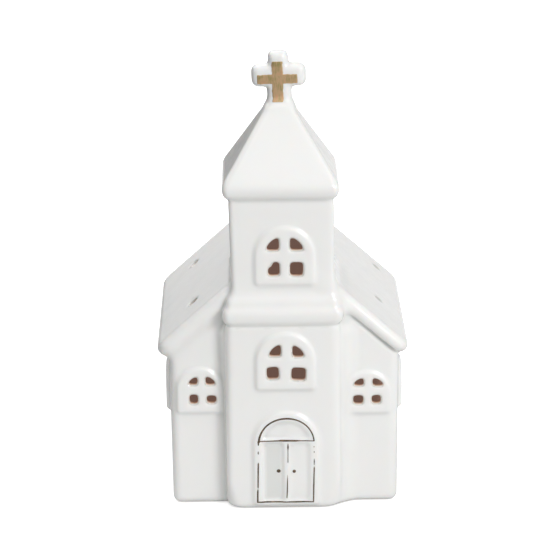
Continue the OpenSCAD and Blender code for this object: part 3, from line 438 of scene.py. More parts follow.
def panes(u, v, sizes, cuts):
    """Signed distance to a window's four panes."""
    _, side, pane, mullion, low_h, foot, transom = sizes
    half, nearest = mullion / 2 + pane, None
    for (sign, upper), (du, dv, turn, grow_u, grow_v) in zip([(-1, 0), (1, 0), (-1, 1), (1, 1)], cuts):
        c, s = math.cos(turn), math.sin(turn)
        mid_u, low = sign * (mullion + pane) / 2 + du, foot + upper * (low_h + transom) + dv
        a, b = (u - mid_u) * c + (v - low) * s, (v - low) * c - (u - mid_u) * s
        if upper:
            out = sign * a + (mullion + pane) / 2
            d = np.maximum(np.maximum(np.abs(a) - pane / 2 - grow_u, -b),
                           np.hypot(out, b + foot + low_h + transom - side) - half - grow_v)
        else:
            d = rect(a, b - low_h / 2, pane / 2 + grow_u, low_h / 2 + grow_v, 0.3)
        nearest = d if nearest is None else np.minimum(nearest, d)
    return nearest


def shell():
    """The porcelain, as the distance to its surface, with the same before it was hollowed."""
    clay = Clay(GRID_LOW, GRID_HIGH, STEP)
    everywhere = ((-99, -99, -9), (99, 99, 300))
    clay.add(*everywhere, nave, 0.5)
    # The glaze lies thick under the left verge and thin under the right one
    clay.add((-99, -99, 58), (99, 99, 130), roof_slabs, lambda x: np.interp(x, (-22, 22), (5.0, 0.7)))
    clay.carve((20, NAVE_FRONT - 4, 60), (58, NAVE_FRONT + 4, 110), under_verge, 0.3)
    clay.add((-34, LOWER_FACE - 4, -3), (34, TOWER_Y + 34, NECK_Z + 8), tower,
             lambda x: np.interp(x, (-20, 20), (1.4, 6.5)))
    clay.add((-20, TOWER_Y - 12, NECK_Z - 14), (20, TOWER_Y + 12, 213), cross, 5.0)
    openings = list(windows())
    for i, (low, high, sizes, cuts, place) in enumerate(openings):
        relief = RELIEF if i < 4 else SIDE_RELIEF

        def surround(x, y, z):
            u, v, out = place(x, y, z)
            return both(both(arch(u, v, sizes[0], sizes[1]), out - relief, 0.5), -out - 3)
        clay.add(low, high, surround, 0.5)

    def door(x, y, z):
        outline = arch(x - FRONT_SHIFT, z - DOOR_FOOT, DOOR_W, DOOR_SIDE)
        return both(both(outline, LOWER_FACE - y - RELIEF, 0.7), y - LOWER_FACE - 3)

    def sunk(x, y, z):
        u, v = x - FRONT_SHIFT, z - DOOR_FOOT
        leaves = rect(np.abs(u) - LEAF_X, v - LEAF_MID, LEAF_HALF, LEAF_HALF_HIGH, 1.0)
        fan = np.maximum(np.hypot(u, v - 29.3) - 11.2, 32.3 - v)
        deep = np.interp(u, (-2, 2), (1.35, 0.95))
        return both(np.minimum(leaves, fan), y - LOWER_FACE + RELIEF - deep)

    door_box = ((-20, LOWER_FACE - 6, -2), (22, LOWER_FACE + 8, 56))
    clay.add(*door_box, door, 0.8)
    clay.carve(*door_box, sunk, 0.3)
    outer = Clay(GRID_LOW, GRID_HIGH, STEP)
    outer.field = clay.field.copy()
    outer.soften(GLAZE_ROUND)
    clay.carve(*everywhere, hollow, 0.5)
    clay.carve((-99, -99, -3), (99, 99, 16), foot_recess, 0.4)
    for low, high, sizes, cuts, place in openings:
        def cut(x, y, z):
            u, v, out = place(x, y, z)
            return both(panes(u, v, sizes, cuts), np.abs(out) - 6.5)
        clay.carve(low, high, cut, 0.2)
    across, up, bead_radius = GLAZE_BEAD
    bead_x, bead_y, bead_z = FRONT_SHIFT + across, UPPER_FACE + 0.3, UPPER_SILL + up

    def bead(x, y, z):
        return np.sqrt((x - bead_x) ** 2 + (y - bead_y) ** 2 + (z - bead_z) ** 2) - bead_radius

    clay.add((bead_x - 4, bead_y - 4, bead_z - 4), (bead_x + 4, bead_y + 4, bead_z + 4), bead, 0.8)
    for side, share, along, radius, depth in VENTS:
        vx, vy = side * share * NAVE_HALF, NAVE_FRONT + along * NAVE_DEPTH
        vz = NAVE_WALL_TOP + SLAB / math.cos(ROOF_PITCH) + (NAVE_HALF - abs(vx)) * math.tan(ROOF_PITCH)

        def vent(x, y, z):
            a = (x - vx) * math.cos(ROOF_PITCH) * side - (z - vz) * math.sin(ROOF_PITCH)
            deep = (x - vx) * math.sin(ROOF_PITCH) * side + (z - vz) * math.cos(ROOF_PITCH)
            return both(np.hypot(a, y - vy) - radius, np.abs(deep) - depth)
        clay.carve((vx - 12, vy - 5, vz - 12), (vx + 12, vy + 5, vz + 8), vent, 0.8)
    clay.soften(GLAZE_ROUND)
    # The foot is ground flat, and nothing stands out past the CAD shell at the back
    _, _, y, z = clay.part(*everywhere)
    clay.field = np.maximum(clay.field, np.maximum(-z, y - shell_high[1]))
    return clay, outer


def hex_colour(code):
    """sRGB hex to the linear colour that the shader takes."""
    parts = [int(code[i:i + 2], 16) / 255 for i in (1, 3, 5)]
    return [c / 12.92 if c <= 0.04045 else ((c + 0.055) / 1.055) ** 2.4 for c in parts] + [1.0]


def add_node(tree, kind, settings=None, **links):
    """Adds a node, sets its properties and sockets, and links its inputs to other nodes' outputs. A socket
    is given by name, or as _0, _1 and so on by its number."""
    node = tree.nodes.new(kind)

    def socket(name):
        return node.inputs[int(name[1:])] if name[0] == "_" else node.inputs[name.replace("_", " ")]

    for name, value in (settings or {}).items():
        if name[0] == "_" or name in node.inputs:
            socket(name).default_value = value
        else:
            setattr(node, name, value)
    for name, source in links.items():
        tree.links.new(source, socket(name))
    return node


def new_material(name):
    """A material with its node tree and its shader."""
    material = bpy.data.materials.new(name)
    material.use_nodes = True
    tree = material.node_tree
    return material, tree, tree.nodes["Principled BSDF"]


def colour_ramp(tree, factor, stops, hard=False):
    """Colours in sRGB hex at places from 0 to 1 along a factor, running into each other unless hard."""
    ramp = add_node(tree, "ShaderNodeValToRGB", Fac=factor)
    ramp.color_ramp.interpolation = "CONSTANT" if hard else "LINEAR"
    while len(ramp.color_ramp.elements) < len(stops):
        ramp.color_ramp.elements.new(0.5)
    for element, (at, code) in zip(ramp.color_ramp.elements, stops):
        element.position, element.color = at, hex_colour(code)
    return ramp.outputs["Color"]


def place_in_mm(tree):
    """A point's place on its piece, in millimetres."""
    place = add_node(tree, "ShaderNodeTexCoord").outputs["Object"]
    scaled = add_node(tree, "ShaderNodeVectorMath", {"operation": "SCALE", "Scale": 1 / MM}, Vector=place)
    return scaled.outputs[0]


def porcelain():
    """Slip-cast porcelain, dipped in a clear white glaze. It is smooth and glossy with slow, shallow waves.
    The glaze pools a touch darker and greener in sharp creases, and that tint also paints shade into them.
    Where the panes are cut the wall shows warm, bare clay, turning browner and darker deeper in as painted
    shade, and the foot rim is wiped clean of glaze and dull. A little daylight soaks through the thin wall,
    and the inside has a dim brown painted glow, so that it is not black."""
    material, tree, shader = new_material("glazed_white_porcelain")
    place = place_in_mm(tree)
    depth, pool_and_shade, bare = (add_node(tree, "ShaderNodeAttribute", {"attribute_name": name}).outputs["Fac"]
                         for name in ("depth", "pool_and_shade", "bare"))
    inward = add_node(tree, "ShaderNodeMapRange", {"From Max": 5.0}, Value=depth).outputs["Result"]
    # The colour runs from the white glaze through peach to brown, deeper into the pane cuts and on the
    # inside: warm bare clay, with painted warm light and painted shade deeper in
    clay_and_inside_shade = colour_ramp(tree, inward, [(0.0, "#f4f4f2"), (0.17, "#f4efe9"), (0.34, "#edcdb4"),
                                             (0.5, "#c49576"), (0.7, "#93705c")])
    # Painted light: deep inside, the porcelain emits a dim brown glow of its own, standing in for daylight
    # that soaks through the wall and bounces inside
    painted_inside_glow = colour_ramp(tree, inward, [(0.42, "#000000"), (0.76, "#64524a")])
    # Glaze lying thick in creases tints them a touch greener, and the same darker tint is painted shade in
    # the creases
    pooled_glaze_and_shade = colour_ramp(tree, pool_and_shade, [(0.0, "#ffffff"), (0.4, "#f4f5f4"), (1.0, "#d2d5d4")])
    tinted = add_node(tree, "ShaderNodeMix", {"data_type": "RGBA", "blend_type": "MULTIPLY", "_0": 1.0},
                      _6=clay_and_inside_shade, _7=pooled_glaze_and_shade)
    rim = add_node(tree, "ShaderNodeMix", {"data_type": "RGBA", "_7": hex_colour("#e9e2d6")},
                   _0=bare, _6=tinted.outputs[2])
    tree.links.new(rim.outputs[2], shader.inputs["Base Color"])
    # Waves about 14 mm long, and a mist of fine dust and pinholes that dulls the gloss here and there
    waves = add_node(tree, "ShaderNodeTexNoise", {"Scale": 1 / 14, "Detail": 0.0}, Vector=place)
    mist = add_node(tree, "ShaderNodeTexNoise", {"Scale": 1 / 3, "Detail": 3.0}, Vector=place)
    gloss = add_node(tree, "ShaderNodeMapRange",
                     {"From Min": 0.35, "From Max": 0.75, "To Min": 0.11, "To Max": 0.2},
                     Value=mist.outputs["Fac"])
    dull = add_node(tree, "ShaderNodeMix", {"_3": 0.75}, _0=bare, _2=gloss.outputs["Result"])
    tree.links.new(dull.outputs[0], shader.inputs["Roughness"])
    # The inside's painted brown glow
    tree.links.new(painted_inside_glow, shader.inputs["Emission Color"])
    shader.inputs["Emission Strength"].default_value = 1.0
    shader.inputs["IOR"].default_value = 1.5
    shader.inputs["Subsurface Weight"].default_value = 0.25
    shader.inputs["Subsurface Radius"].default_value = (1.0, 0.72, 0.55)
    shader.inputs["Subsurface Scale"].default_value = 0.0025
    bump = add_node(tree, "ShaderNodeBump", {"Strength": 0.3, "Distance": 0.5 * MM},
                    Height=waves.outputs["Fac"])
    tree.links.new(bump.outputs["Normal"], shader.inputs["Normal"])
    return material


def lustre(name, stops, streak, roughness):
    """Gold lustre, a thin metal film brushed on over the glaze and fired again. It is satin rather than
    bright, and mottled along the brush's path where the film is thicker or thinner."""
    material, tree, shader = new_material(name)
    place = place_in_mm(tree)
    along = add_node(tree, "ShaderNodeVectorMath", {"operation": "MULTIPLY", "_1": streak}, Vector=place)
    brush = add_node(tree, "ShaderNodeTexNoise", {"Scale": 1.0, "Detail": 3.0}, Vector=along.outputs[0])
    cloud = add_node(tree, "ShaderNodeTexNoise", {"Scale": 1 / 4, "Detail": 2.0}, Vector=place)
    mixed = add_node(tree, "ShaderNodeMath", {"operation": "ADD"}, _0=brush.outputs["Fac"],
                     _1=cloud.outputs["Fac"])
    spread = add_node(tree, "ShaderNodeMapRange", {"From Min": 0.7, "From Max": 1.3}, Value=mixed.outputs[0])
    tree.links.new(colour_ramp(tree, spread.outputs["Result"], stops), shader.inputs["Base Color"])
    shader.inputs["Metallic"].default_value = 0.85
    shader.inputs["Roughness"].default_value = roughness
    bump = add_node(tree, "ShaderNodeBump", {"Strength": 0.3, "Distance": 0.1 * MM},
                    Height=brush.outputs["Fac"])
    tree.links.new(bump.outputs["Normal"], shader.inputs["Normal"])
    return material


PORCELAIN = porcelain()
CROSS_GOLD = lustre("brushed_gold_lustre",
                    [(0.0, "#b2a56f"), (0.3, "#cdb185"), (0.6, "#dcbc92"), (1.0, "#e5b28d")],
                    (1.6, 1.6, 0.35), 0.42)
LINE_GOLD = lustre("dark_gold_lustre", [(0.0, "#4c4335"), (0.5, "#6d5f4f"), (1.0, "#8b7560")],
                   (0.8, 0.8, 0.8), 0.4)


def make_shell():
    """The porcelain piece, with what its material needs to know at each corner."""
    clay, outer = shell()
    corners, faces = clay.skin()
    piece = mesh_piece("porcelain_shell", corners, faces, 0.4)
    points = corners_of(piece)
    # The recess of the foot and the edge of the lamp hole are glazed like the outside
    note(piece, "depth", -outer.at(points) * np.clip((points[:, 2] - FOOT_DEPTH - WALL) / 3, 0, 1))
    around = Clay(outer.low, outer.low, STEP)
    around.axes, around.field = outer.axes, outer.field.copy()
    around.soften(1.1)
    # Sharp creases get the darker glaze tint: partly glaze that pooled there, partly painted shade
    pool_and_shade = np.clip((-around.at(points) - 0.09) / 0.32, 0, 1)
    # The door's left leaf was carved deeper, and the glaze lies thick in it. Its darker tint is also painted
    # shade
    leaf = rect(points[:, 0] - FRONT_SHIFT + LEAF_X, points[:, 2] - DOOR_FOOT - LEAF_MID,
                LEAF_HALF - 0.2, LEAF_HALF_HIGH - 0.2, 1.0)
    leaf = np.clip(-leaf / 1.5, 0, 1) * (np.abs(points[:, 1] - LOWER_FACE) < 2)
    note(piece, "pool_and_shade", np.maximum(pool_and_shade, 0.48 * leaf) * (outer.at(points) > -0.6))
    note(piece, "bare", np.clip((0.9 - points[:, 2]) / 0.6, 0, 1))
    piece.data.normals_split_custom_set_from_vertices(clay.slope(points).tolist())
    piece.data.materials.append(PORCELAIN)
    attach(piece, "shell")
    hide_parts("church_shell")
    return clay


clay = make_shell()


def stroke(u, v, path):
    """Signed distance to a stroke of the brush. Its points are across, up and half the width there, and
    a width below zero lifts the brush."""
    nearest = None
    for (au, av, aw), (bu, bv, bw) in zip(path, path[1:]):
        du, dv = bu - au, bv - av
        t = np.clip(((u - au) * du + (v - av) * dv) / (du * du + dv * dv), 0, 1)
        d = np.hypot(u - au - t * du, v - av - t * dv) - aw - t * (bw - aw)
        nearest = d if nearest is None else np.minimum(nearest, d)
    return nearest


def gilded(name, low, high, step, lift, painted, material, node):
    """Gold that lies on the porcelain: its own surface, lifted a little wherever the brush went."""
    film = Clay(low, high, step)
    x, y, z = np.meshgrid(*film.axes, indexing="ij")
    under = clay.at(np.stack([x.ravel(), y.ravel(), z.ravel()], 1)).reshape(film.field.shape)
    film.field = np.maximum(painted(x, y, z, under, lift), -under - 0.35).astype(np.float32)
    corners, faces = film.skin()
    piece = mesh_piece(name, corners, faces)
    piece.data.materials.append(material)
    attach(piece, "shell")
    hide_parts(node)


def cross_gold(x, y, z, under, lift):
    """Two broad strokes on the front of the cross, with edges that a steady hand leaves a little uneven."""
    u, v, w = cross_frame(x, y, z)
    stem_mid, stem_half, stem_half_high = 11.3, 2.52, 9.25
    arms_mid, arms_half, arms_half_high = 12.48, 9.1, 2.18
    tilt = 0.014 * (w - stem_mid)
    waver = 0.10 * np.sin(w * 1.1) + 0.06 * np.sin(w * 2.7 + 1)
    upright = rect(u - tilt + waver, w - stem_mid, stem_half, stem_half_high, 0.5)
    waver = 0.08 * np.sin(u * 0.9 + 2) + 0.07 * np.sin(u * 2.3)
    arms = rect(u + 0.1, w - arms_mid + waver, arms_half, arms_half_high, 0.5)
    return np.maximum(both(under - lift, np.minimum(upright, arms), 0.1), v + 1)


def door_lines(x, y, z, under, lift):
    """The lines round the door, over its fanlight and between its leaves, broken where they wore off."""
    u, v = x - FRONT_SHIFT, z - DOOR_FOOT
    # The line over the fanlight: angle in degrees, distance from its middle and half the width
    turns = [(174, 12.7, 0.5), (155, 12.8, 0.44), (135, 12.85, 0.38), (110, 12.7, 0.42), (90, 12.65, 0.46),
             (65, 12.85, 0.36), (45, 13.0, 0.34), (25, 12.95, 0.32), (8, 12.8, 0.3)]
    at, reach, half = (np.array(c) for c in zip(*turns[::-1]))
    fanlight = [(0.1 + np.interp(a, at, reach) * math.cos(math.radians(a)),
                 29.65 + np.interp(a, at, reach) * math.sin(math.radians(a)), np.interp(a, at, half))
                for a in np.linspace(174, 8, 40)]
    paths = [
        fanlight,
        [(-12.6, 31.4, 0.24), (-8, 31.45, 0.24), (-3.4, 31.55, 0.28), (-2.6, 31.6, 0.42), (4.6, 31.5, 0.4),
         (6.5, 31.5, 0.22), (12.7, 31.4, 0.26)],
        [(-12.7, 31.2, 0.4), (-12.7, 29.7, 0.3), (-12.75, 29.1, -0.1)],
        [(-12.75, 26.7, 0.05), (-12.78, 25.8, 0.34), (-12.78, 24.9, 0.02)],
        [(-12.8, 21.2, 0.1), (-12.85, 20.4, 0.36), (-13.05, 9.2, 0.34), (-13.1, 8.4, 0.1)],
        [(-13.1, 8.0, 0.2), (-13.2, 7.0, 0.38), (-13.3, 1.9, 0.4)],
        [(-13.3, 1.8, 0.36), (-6, 1.75, 0.3), (3, 1.65, 0.32), (12.2, 1.7, 0.3)],
        [(12.35, 1.7, 0.3), (12.5, 9, 0.34), (12.75, 18.2, 0.3), (12.75, 19, 0.1)],
        [(12.75, 19.6, 0.14), (12.78, 21.6, 0.26), (12.78, 23.2, 0.04)],
        [(12.78, 25.4, 0.05), (12.78, 26.1, 0.26), (12.78, 26.7, 0.0)],
        [(12.74, 28.0, 0.04), (12.74, 28.6, 0.22), (12.74, 29.2, 0.0)],
        [(0.84, 30.2, 0.12), (0.84, 28.9, 0.34), (0.84, 28.2, 0.36), (0.82, 26.8, 0.16), (0.78, 21.3, 0.22),
         (0.76, 20.4, 0.02)],
        [(0.56, 15, 0.06), (0.5, 12.5, 0.2), (0.36, 7, 0.3), (0.17, 4.0, 0.26), (0.16, 3.4, 0.08)]]
    painted = np.minimum.reduce([stroke(u, v, path) for path in paths])
    return both(under - lift, painted, 0.08)


def door_knobs(x, y, z, under, lift):
    """Two dabs, the left one fuller."""
    u, v = x - FRONT_SHIFT, z - DOOR_FOOT
    left = np.sqrt((u + 3.52) ** 2 + ((v - 16.5) * 1.15) ** 2 + (under * 2.6) ** 2) - 0.95
    right = np.sqrt((u - 3.62) ** 2 + (v - 16.4) ** 2 + (under * 2.6) ** 2) - 0.8
    return np.minimum(left, right)


gilded("gold_on_cross", (-12, TOWER_Y - 5.2, NECK_Z), (12, TOWER_Y + 1.5, NECK_Z + 23), 0.22, 0.12,
       cross_gold, CROSS_GOLD, "gold_cross")
gilded("gold_round_door", (-13.6, LOWER_FACE - 2.6, 2.6), (16, LOWER_FACE + 0.4, 46.5), 0.16, 0.1,
       door_lines, LINE_GOLD, "gold_door_lines")
gilded("gold_knobs", (-4, LOWER_FACE - 2.6, 16.5), (7, LOWER_FACE + 0.6, 21), 0.12, 0.3, door_knobs,
       LINE_GOLD, "gold_door_knobs")


# The light unit. Its places come from the boxes of its CAD pieces.
def in_mm(node):
    """A CAD piece's lowest corner, highest corner and middle, in millimetres."""
    low, high = (np.array(corner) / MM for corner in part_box(node))
    return low, high, (low + high) / 2


def eased(outline, radius):
    """A closed outline with its corners rounded, as a mould or a press leaves them. Corners on the axis
    stay as they are."""
    done = []
    for i, (r, h) in enumerate(outline):
        if r == 0:
            done.append((r, h))
            continue
        ends = []
        for other in (outline[i - 1], outline[(i + 1) % len(outline)]):
            far = math.dist((r, h), other)
            share = min(radius, 0.45 * far) / far
            ends.append((r + (other[0] - r) * share, h + (other[1] - h) * share))
        for t in (0, 0.25, 0.5, 0.75, 1):
            done.append(tuple((1 - t) ** 2 * a + 2 * t * (1 - t) * c + t * t * b
                              for a, c, b in zip(ends[0], (r, h), ends[1])))
    return done


def arc(mid_r, mid_h, radius, start, end, steps=8):
    """Points of an arc, as radius and height, between two angles in degrees."""
    return [(mid_r + radius * math.cos(a), mid_h + radius * math.sin(a))
            for a in np.radians(np.linspace(start, end, steps))]


def close_up(piece, material, body, slot, *nodes):
    """Joins corners that fall together, turns the faces outwards, keeps real edges crisp, and puts the
    piece on its body in place of its CAD nodes."""
    mesh = bmesh.new()
    mesh.from_mesh(piece.data)
    bmesh.ops.remove_doubles(mesh, verts=mesh.verts, dist=1e-7)
    bmesh.ops.recalc_face_normals(mesh, faces=mesh.faces)
    mesh.to_mesh(piece.data)
    mesh.free()
    piece.data.set_sharp_from_angle(angle=math.radians(40))
    piece.data.materials.append(material)
    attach(piece, body)
    if nodes:
        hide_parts(*nodes)


def turned(name, outline, places, lying=False, sides=128):
    """Round pieces in one mesh: an outline of radius and height, turned about an axis at each place.
    The axis of a lying piece runs along X."""
    rings = np.array(outline)
    angle = np.linspace(0, 2 * math.pi, sides, endpoint=False)
    r, h = rings[:, :1], rings[:, 1:]
    one = np.stack([r * np.cos(angle), r * np.sin(angle), np.broadcast_to(h, (len(rings), sides))], 2)
    one = (one[..., [2, 0, 1]] if lying else one).reshape(-1, 3)
    i, k = np.meshgrid(np.arange(len(rings)), np.arange(sides), indexing="ij")
    j, m = (i + 1) % len(rings), (k + 1) % sides
    quad = np.stack([i * sides + k, i * sides + m, j * sides + m, j * sides + k], -1).reshape(-1, 4)
    corners = np.concatenate([one + place for place in places])
    return mesh_piece(name, corners, np.concatenate([quad + n * len(one) for n in range(len(places))]))


def drawn(name, wires, sides=14):
    """Round wires in one mesh, each from its path and its radius."""
    corners, faces, used = [], [], 0
    angle = np.linspace(0, 2 * math.pi, sides, endpoint=False)[:, None]
    for path, radius in wires:
        path = np.array(path, float)
        ahead = np.gradient(path, axis=0)
        ahead /= np.linalg.norm(ahead, axis=1, keepdims=True)
        side, rings = np.array((0.31, 0.77, 0.55)), []
        for p, t in zip(path, ahead):
            side = side - t * side.dot(t)
            side /= np.linalg.norm(side)
            rings.append(p + radius * (np.cos(angle) * side + np.sin(angle) * np.cross(t, side)))
        rings = [np.repeat(path[:1], sides, 0)] + rings + [np.repeat(path[-1:], sides, 0)]
        i, k = np.meshgrid(np.arange(len(rings) - 1), np.arange(sides), indexing="ij")
        m = (k + 1) % sides
        quad = np.stack([i * sides + k, i * sides + m, (i + 1) * sides + m, (i + 1) * sides + k], -1)
        faces.append(quad.reshape(-1, 4) + used)
        corners += rings
        used += len(rings) * sides
    return mesh_piece(name, np.concatenate(corners), np.concatenate(faces))


def finish(name, stops, cloud, grain, relief, rough, metallic=0.0):
    """A surface whose colour drifts in soft clouds, unless stops is None, and whose fine grain stands up
    as relief and breaks the gloss. Cloud, grain and relief are in millimetres."""
    material, tree, shader = new_material(name)
    place = place_in_mm(tree)
    if stops:
        drift = add_node(tree, "ShaderNodeTexNoise", {"Scale": 1 / cloud, "Detail": 3.0}, Vector=place)
        tree.links.new(colour_ramp(tree, drift.outputs["Fac"], stops), shader.inputs["Base Color"])
    speck = add_node(tree, "ShaderNodeTexNoise", {"Scale": 1 / grain, "Detail": 2.0}, Vector=place)
    gloss = add_node(tree, "ShaderNodeMapRange", {"From Min": 0.3, "From Max": 0.7, "To Min": rough[0],
                                                  "To Max": rough[1]}, Value=speck.outputs["Fac"])
    tree.links.new(gloss.outputs["Result"], shader.inputs["Roughness"])
    bump = add_node(tree, "ShaderNodeBump", {"Strength": 1.0, "Distance": relief * MM},
                    Height=speck.outputs["Fac"])
    tree.links.new(bump.outputs["Normal"], shader.inputs["Normal"])
    shader.inputs["Metallic"].default_value = metallic
    return material, tree, shader, place


def paint_over(tree, shader, mask, stops, factor=None):
    """Lays other colours over a finish where the mask is 1."""
    old = shader.inputs["Base Color"].links[0].from_socket
    over = add_node(tree, "ShaderNodeMix", {"data_type": "RGBA"}, _0=mask, _6=old)
    if factor is None:
        over.inputs[7].default_value = hex_colour(stops)
    else:
        tree.links.new(colour_ramp(tree, factor, stops, hard=True), over.inputs[7])
    tree.links.new(over.outputs[2], shader.inputs["Base Color"])


def off_centre(tree, place, axis, middle):
    """How far a point lies from the middle along one axis, in millimetres."""
    along = add_node(tree, "ShaderNodeSeparateXYZ", Vector=place).outputs[axis]
    gap = add_node(tree, "ShaderNodeMath", {"operation": "SUBTRACT", "_1": float(middle)}, _0=along)
    return add_node(tree, "ShaderNodeMath", {"operation": "ABSOLUTE"}, _0=gap.outputs[0]).outputs[0]


def dress(material, *nodes):
    """Gives CAD pieces their finish."""
    for node in nodes:
        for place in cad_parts[node].material_slots:
            place.material = material


def moulded_abs():
    """Ivory ABS from a spark-eroded mould: satin, with a fine even grain of about 0.4 mm and faint flow
    clouds."""
    material, _, shader, _ = finish("ivory_moulded_abs", [(0.3, "#e3dfd2"), (0.7, "#ebe8de")],
                                    14, 0.4, 0.03, (0.42, 0.58))
    shader.inputs["IOR"].default_value = 1.53
    return material


def grip_rubber():
    """Black nitrile rubber: dull, with a grey bloom of dust and mould talc."""
    material, _, shader, _ = finish("black_nitrile_rubber",
                                    [(0.35, "#222223"), (0.6, "#2e2e2f"), (0.8, "#434343")],
                                    2.5, 0.25, 0.02, (0.62, 0.88))
    shader.inputs["IOR"].default_value = 1.52
    return material


def frosted_cover_plastic():
    """Frosted polypropylene: milky, lets light through and scatters it, with a fine blasted grain."""
    material, _, shader, _ = finish("frosted_polypropylene", [(0.3, "#efeadd"), (0.7, "#f8f4ea")],
                                    9, 0.3, 0.03, (0.45, 0.62))
    shader.inputs["IOR"].default_value = 1.49
    shader.inputs["Transmission Weight"].default_value = 0.4
    shader.inputs["Subsurface Weight"].default_value = 0.5
    shader.inputs["Subsurface Scale"].default_value = 0.002
    return material


def board_laminate():
    """Glass laminate under green solder mask: glossy, and the glass cloth shows through as a fine check.
    Real threads lie 0.5 mm apart, and 0.8 mm here, so that they show."""
    material, tree, shader, place = finish("green_solder_mask", [(0.3, "#235c3a"), (0.7, "#2f7049")],
                                           6, 0.5, 0.004, (0.22, 0.34))
    thread_gap = 0.8
    threads = [add_node(tree, "ShaderNodeTexWave", {"bands_direction": way, "Distortion": 0.4, "Detail": 1.0,
                                                    "Scale": math.pi / 10 / thread_gap},
                        Vector=place).outputs["Fac"]
               for way in ("X", "Y")]
    cloth = add_node(tree, "ShaderNodeMath", {"operation": "MULTIPLY"}, _0=threads[0], _1=threads[1])
    faint = add_node(tree, "ShaderNodeMath", {"operation": "MULTIPLY", "_1": 0.35}, _0=cloth.outputs[0])
    paint_over(tree, shader, faint.outputs[0], "#5b9a6e")
    shader.inputs["IOR"].default_value = 1.52
    return material


def zinc_steel():
    """Small screws in bright zinc plate: blue-white with a straw tint here and there, lightly tumbled."""
    return finish("bright_zinc_plate", [(0.3, "#a7acb3"), (0.55, "#babdc1"), (0.75, "#c6bfa8")],
                  1.2, 0.3, 0.006, (0.26, 0.44), 1.0)[0]


def lens_epoxy():
    """The lamp's clear epoxy lens, cast glossy and a little straw-coloured."""
    material, _, shader, _ = finish("clear_cast_epoxy", [(0.3, "#f6ecc9"), (0.7, "#fbf5e0")],
                                    3, 1.0, 0.002, (0.04, 0.09))
    shader.inputs["IOR"].default_value = 1.54
    shader.inputs["Transmission Weight"].default_value = 0.85
    return material


def tinned_wire():
    """Tin that ran over the leads in the solder bath: bright, softly rippled."""
    return finish("tinned_copper", [(0.3, "#b5b7b9"), (0.7, "#d0d1d1")],
                  0.9, 0.35, 0.012, (0.2, 0.38), 1.0)[0]


def resistor_lacquer(middle, length):
    """Baked lacquer with four painted bands."""
    material, tree, shader, place = finish("banded_resistor_lacquer", [(0.3, "#c2a06d"), (0.7, "#d0b283")],
                                           1.5, 0.4, 0.01, (0.28, 0.42))
    along = add_node(tree, "ShaderNodeSeparateXYZ", Vector=place).outputs["X"]
    share = add_node(tree, "ShaderNodeMapRange", {"From Min": float(middle - length / 2),
                                                  "From Max": float(middle + length / 2)}, Value=along)
    body, bands = "#c9a877", ((0.14, "#5a3a22"), (0.36, "#1d1d1e"), (0.54, "#8f2a1e"), (0.8, "#a8873f"))
    band_width = 0.08
    stops, marks = [(0.0, body)], [(0.0, "#000000")]
    for start, code in bands:
        stops += [(start, code), (start + band_width, body)]
        marks += [(start, "#ffffff"), (start + band_width, "#000000")]
    paint_over(tree, shader, colour_ramp(tree, share.outputs["Result"], marks, hard=True), stops,
               share.outputs["Result"])
    return material


def chip_moulding(middle, half_width):
    """Black epoxy moulding with a matt, sanded face, on tinned legs."""
    material, tree, shader, place = finish("black_chip_moulding", [(0.3, "#232324"), (0.7, "#2f2f30")],
                                           1.5, 0.2, 0.012, (0.5, 0.7))
    out = off_centre(tree, place, "X", middle)
    legs = add_node(tree, "ShaderNodeMath", {"operation": "GREATER_THAN", "_1": half_width + 0.02}, _0=out)
    legs = legs.outputs[0]
    paint_over(tree, shader, legs, "#c4c6c7")
    tree.links.new(legs, shader.inputs["Metallic"])
    return material


def pressed_nickel(name, stretch):
    """Nickel-plated strip, drawn through a press, with fine scratches about 0.15 mm apart along its run."""
    material, tree, shader, place = finish(name, [(0.3, "#b3b1aa"), (0.7, "#c9c7c0")],
                                           2.5, 0.4, 0.004, (0.22, 0.4), 1.0)
    along = add_node(tree, "ShaderNodeVectorMath", {"operation": "MULTIPLY", "_1": stretch}, Vector=place)
    scratch = add_node(tree, "ShaderNodeTexNoise", {"Scale": 1.0, "Detail": 2.0}, Vector=along.outputs[0])
    old = shader.inputs["Normal"].links[0].from_socket
    bump = add_node(tree, "ShaderNodeBump", {"Strength": 0.6, "Distance": 0.01 * MM},
                    Height=scratch.outputs["Fac"], Normal=old)
    tree.links.new(bump.outputs["Normal"], shader.inputs["Normal"])
    return material


def knob_acetal():
    """Black acetal: smooth and waxy."""
    return finish("black_acetal", [(0.3, "#242426"), (0.7, "#2e2e31")], 2, 0.3, 0.01, (0.32, 0.5))[0]


def cell_steel(row_y, row_z):
    """Stainless cans, spun so that fine rings about 0.2 mm apart run round their ends."""
    material, tree, shader, place = finish("spun_stainless_steel", [(0.3, "#b6b8ba"), (0.7, "#c9cacb")],
                                           4, 0.5, 0.003, (0.2, 0.34), 1.0)
    row = (0.0, float(row_y), float(row_z))
    away = add_node(tree, "ShaderNodeVectorMath", {"operation": "SUBTRACT", "_1": row}, Vector=place)
    flat = add_node(tree, "ShaderNodeVectorMath", {"operation": "MULTIPLY", "_1": (0.0, 1.0, 1.0)},
                    Vector=away.outputs[0])
    radius = add_node(tree, "ShaderNodeVectorMath", {"operation": "LENGTH"}, Vector=flat.outputs[0])
    rings = add_node(tree, "ShaderNodeTexNoise", {"noise_dimensions": "1D", "Scale": 1.0, "Detail": 2.0})
    ring_gap = 0.2
    wide = add_node(tree, "ShaderNodeMath", {"operation": "MULTIPLY", "_1": 1 / ring_gap},
                    _0=radius.outputs["Value"])
    tree.links.new(wide.outputs[0], rings.inputs["W"])
    old = shader.inputs["Normal"].links[0].from_socket
    bump = add_node(tree, "ShaderNodeBump", {"Strength": 0.5, "Distance": 0.01 * MM},
                    Height=rings.outputs["Fac"], Normal=old)
    tree.links.new(bump.outputs["Normal"], shader.inputs["Normal"])
    return material


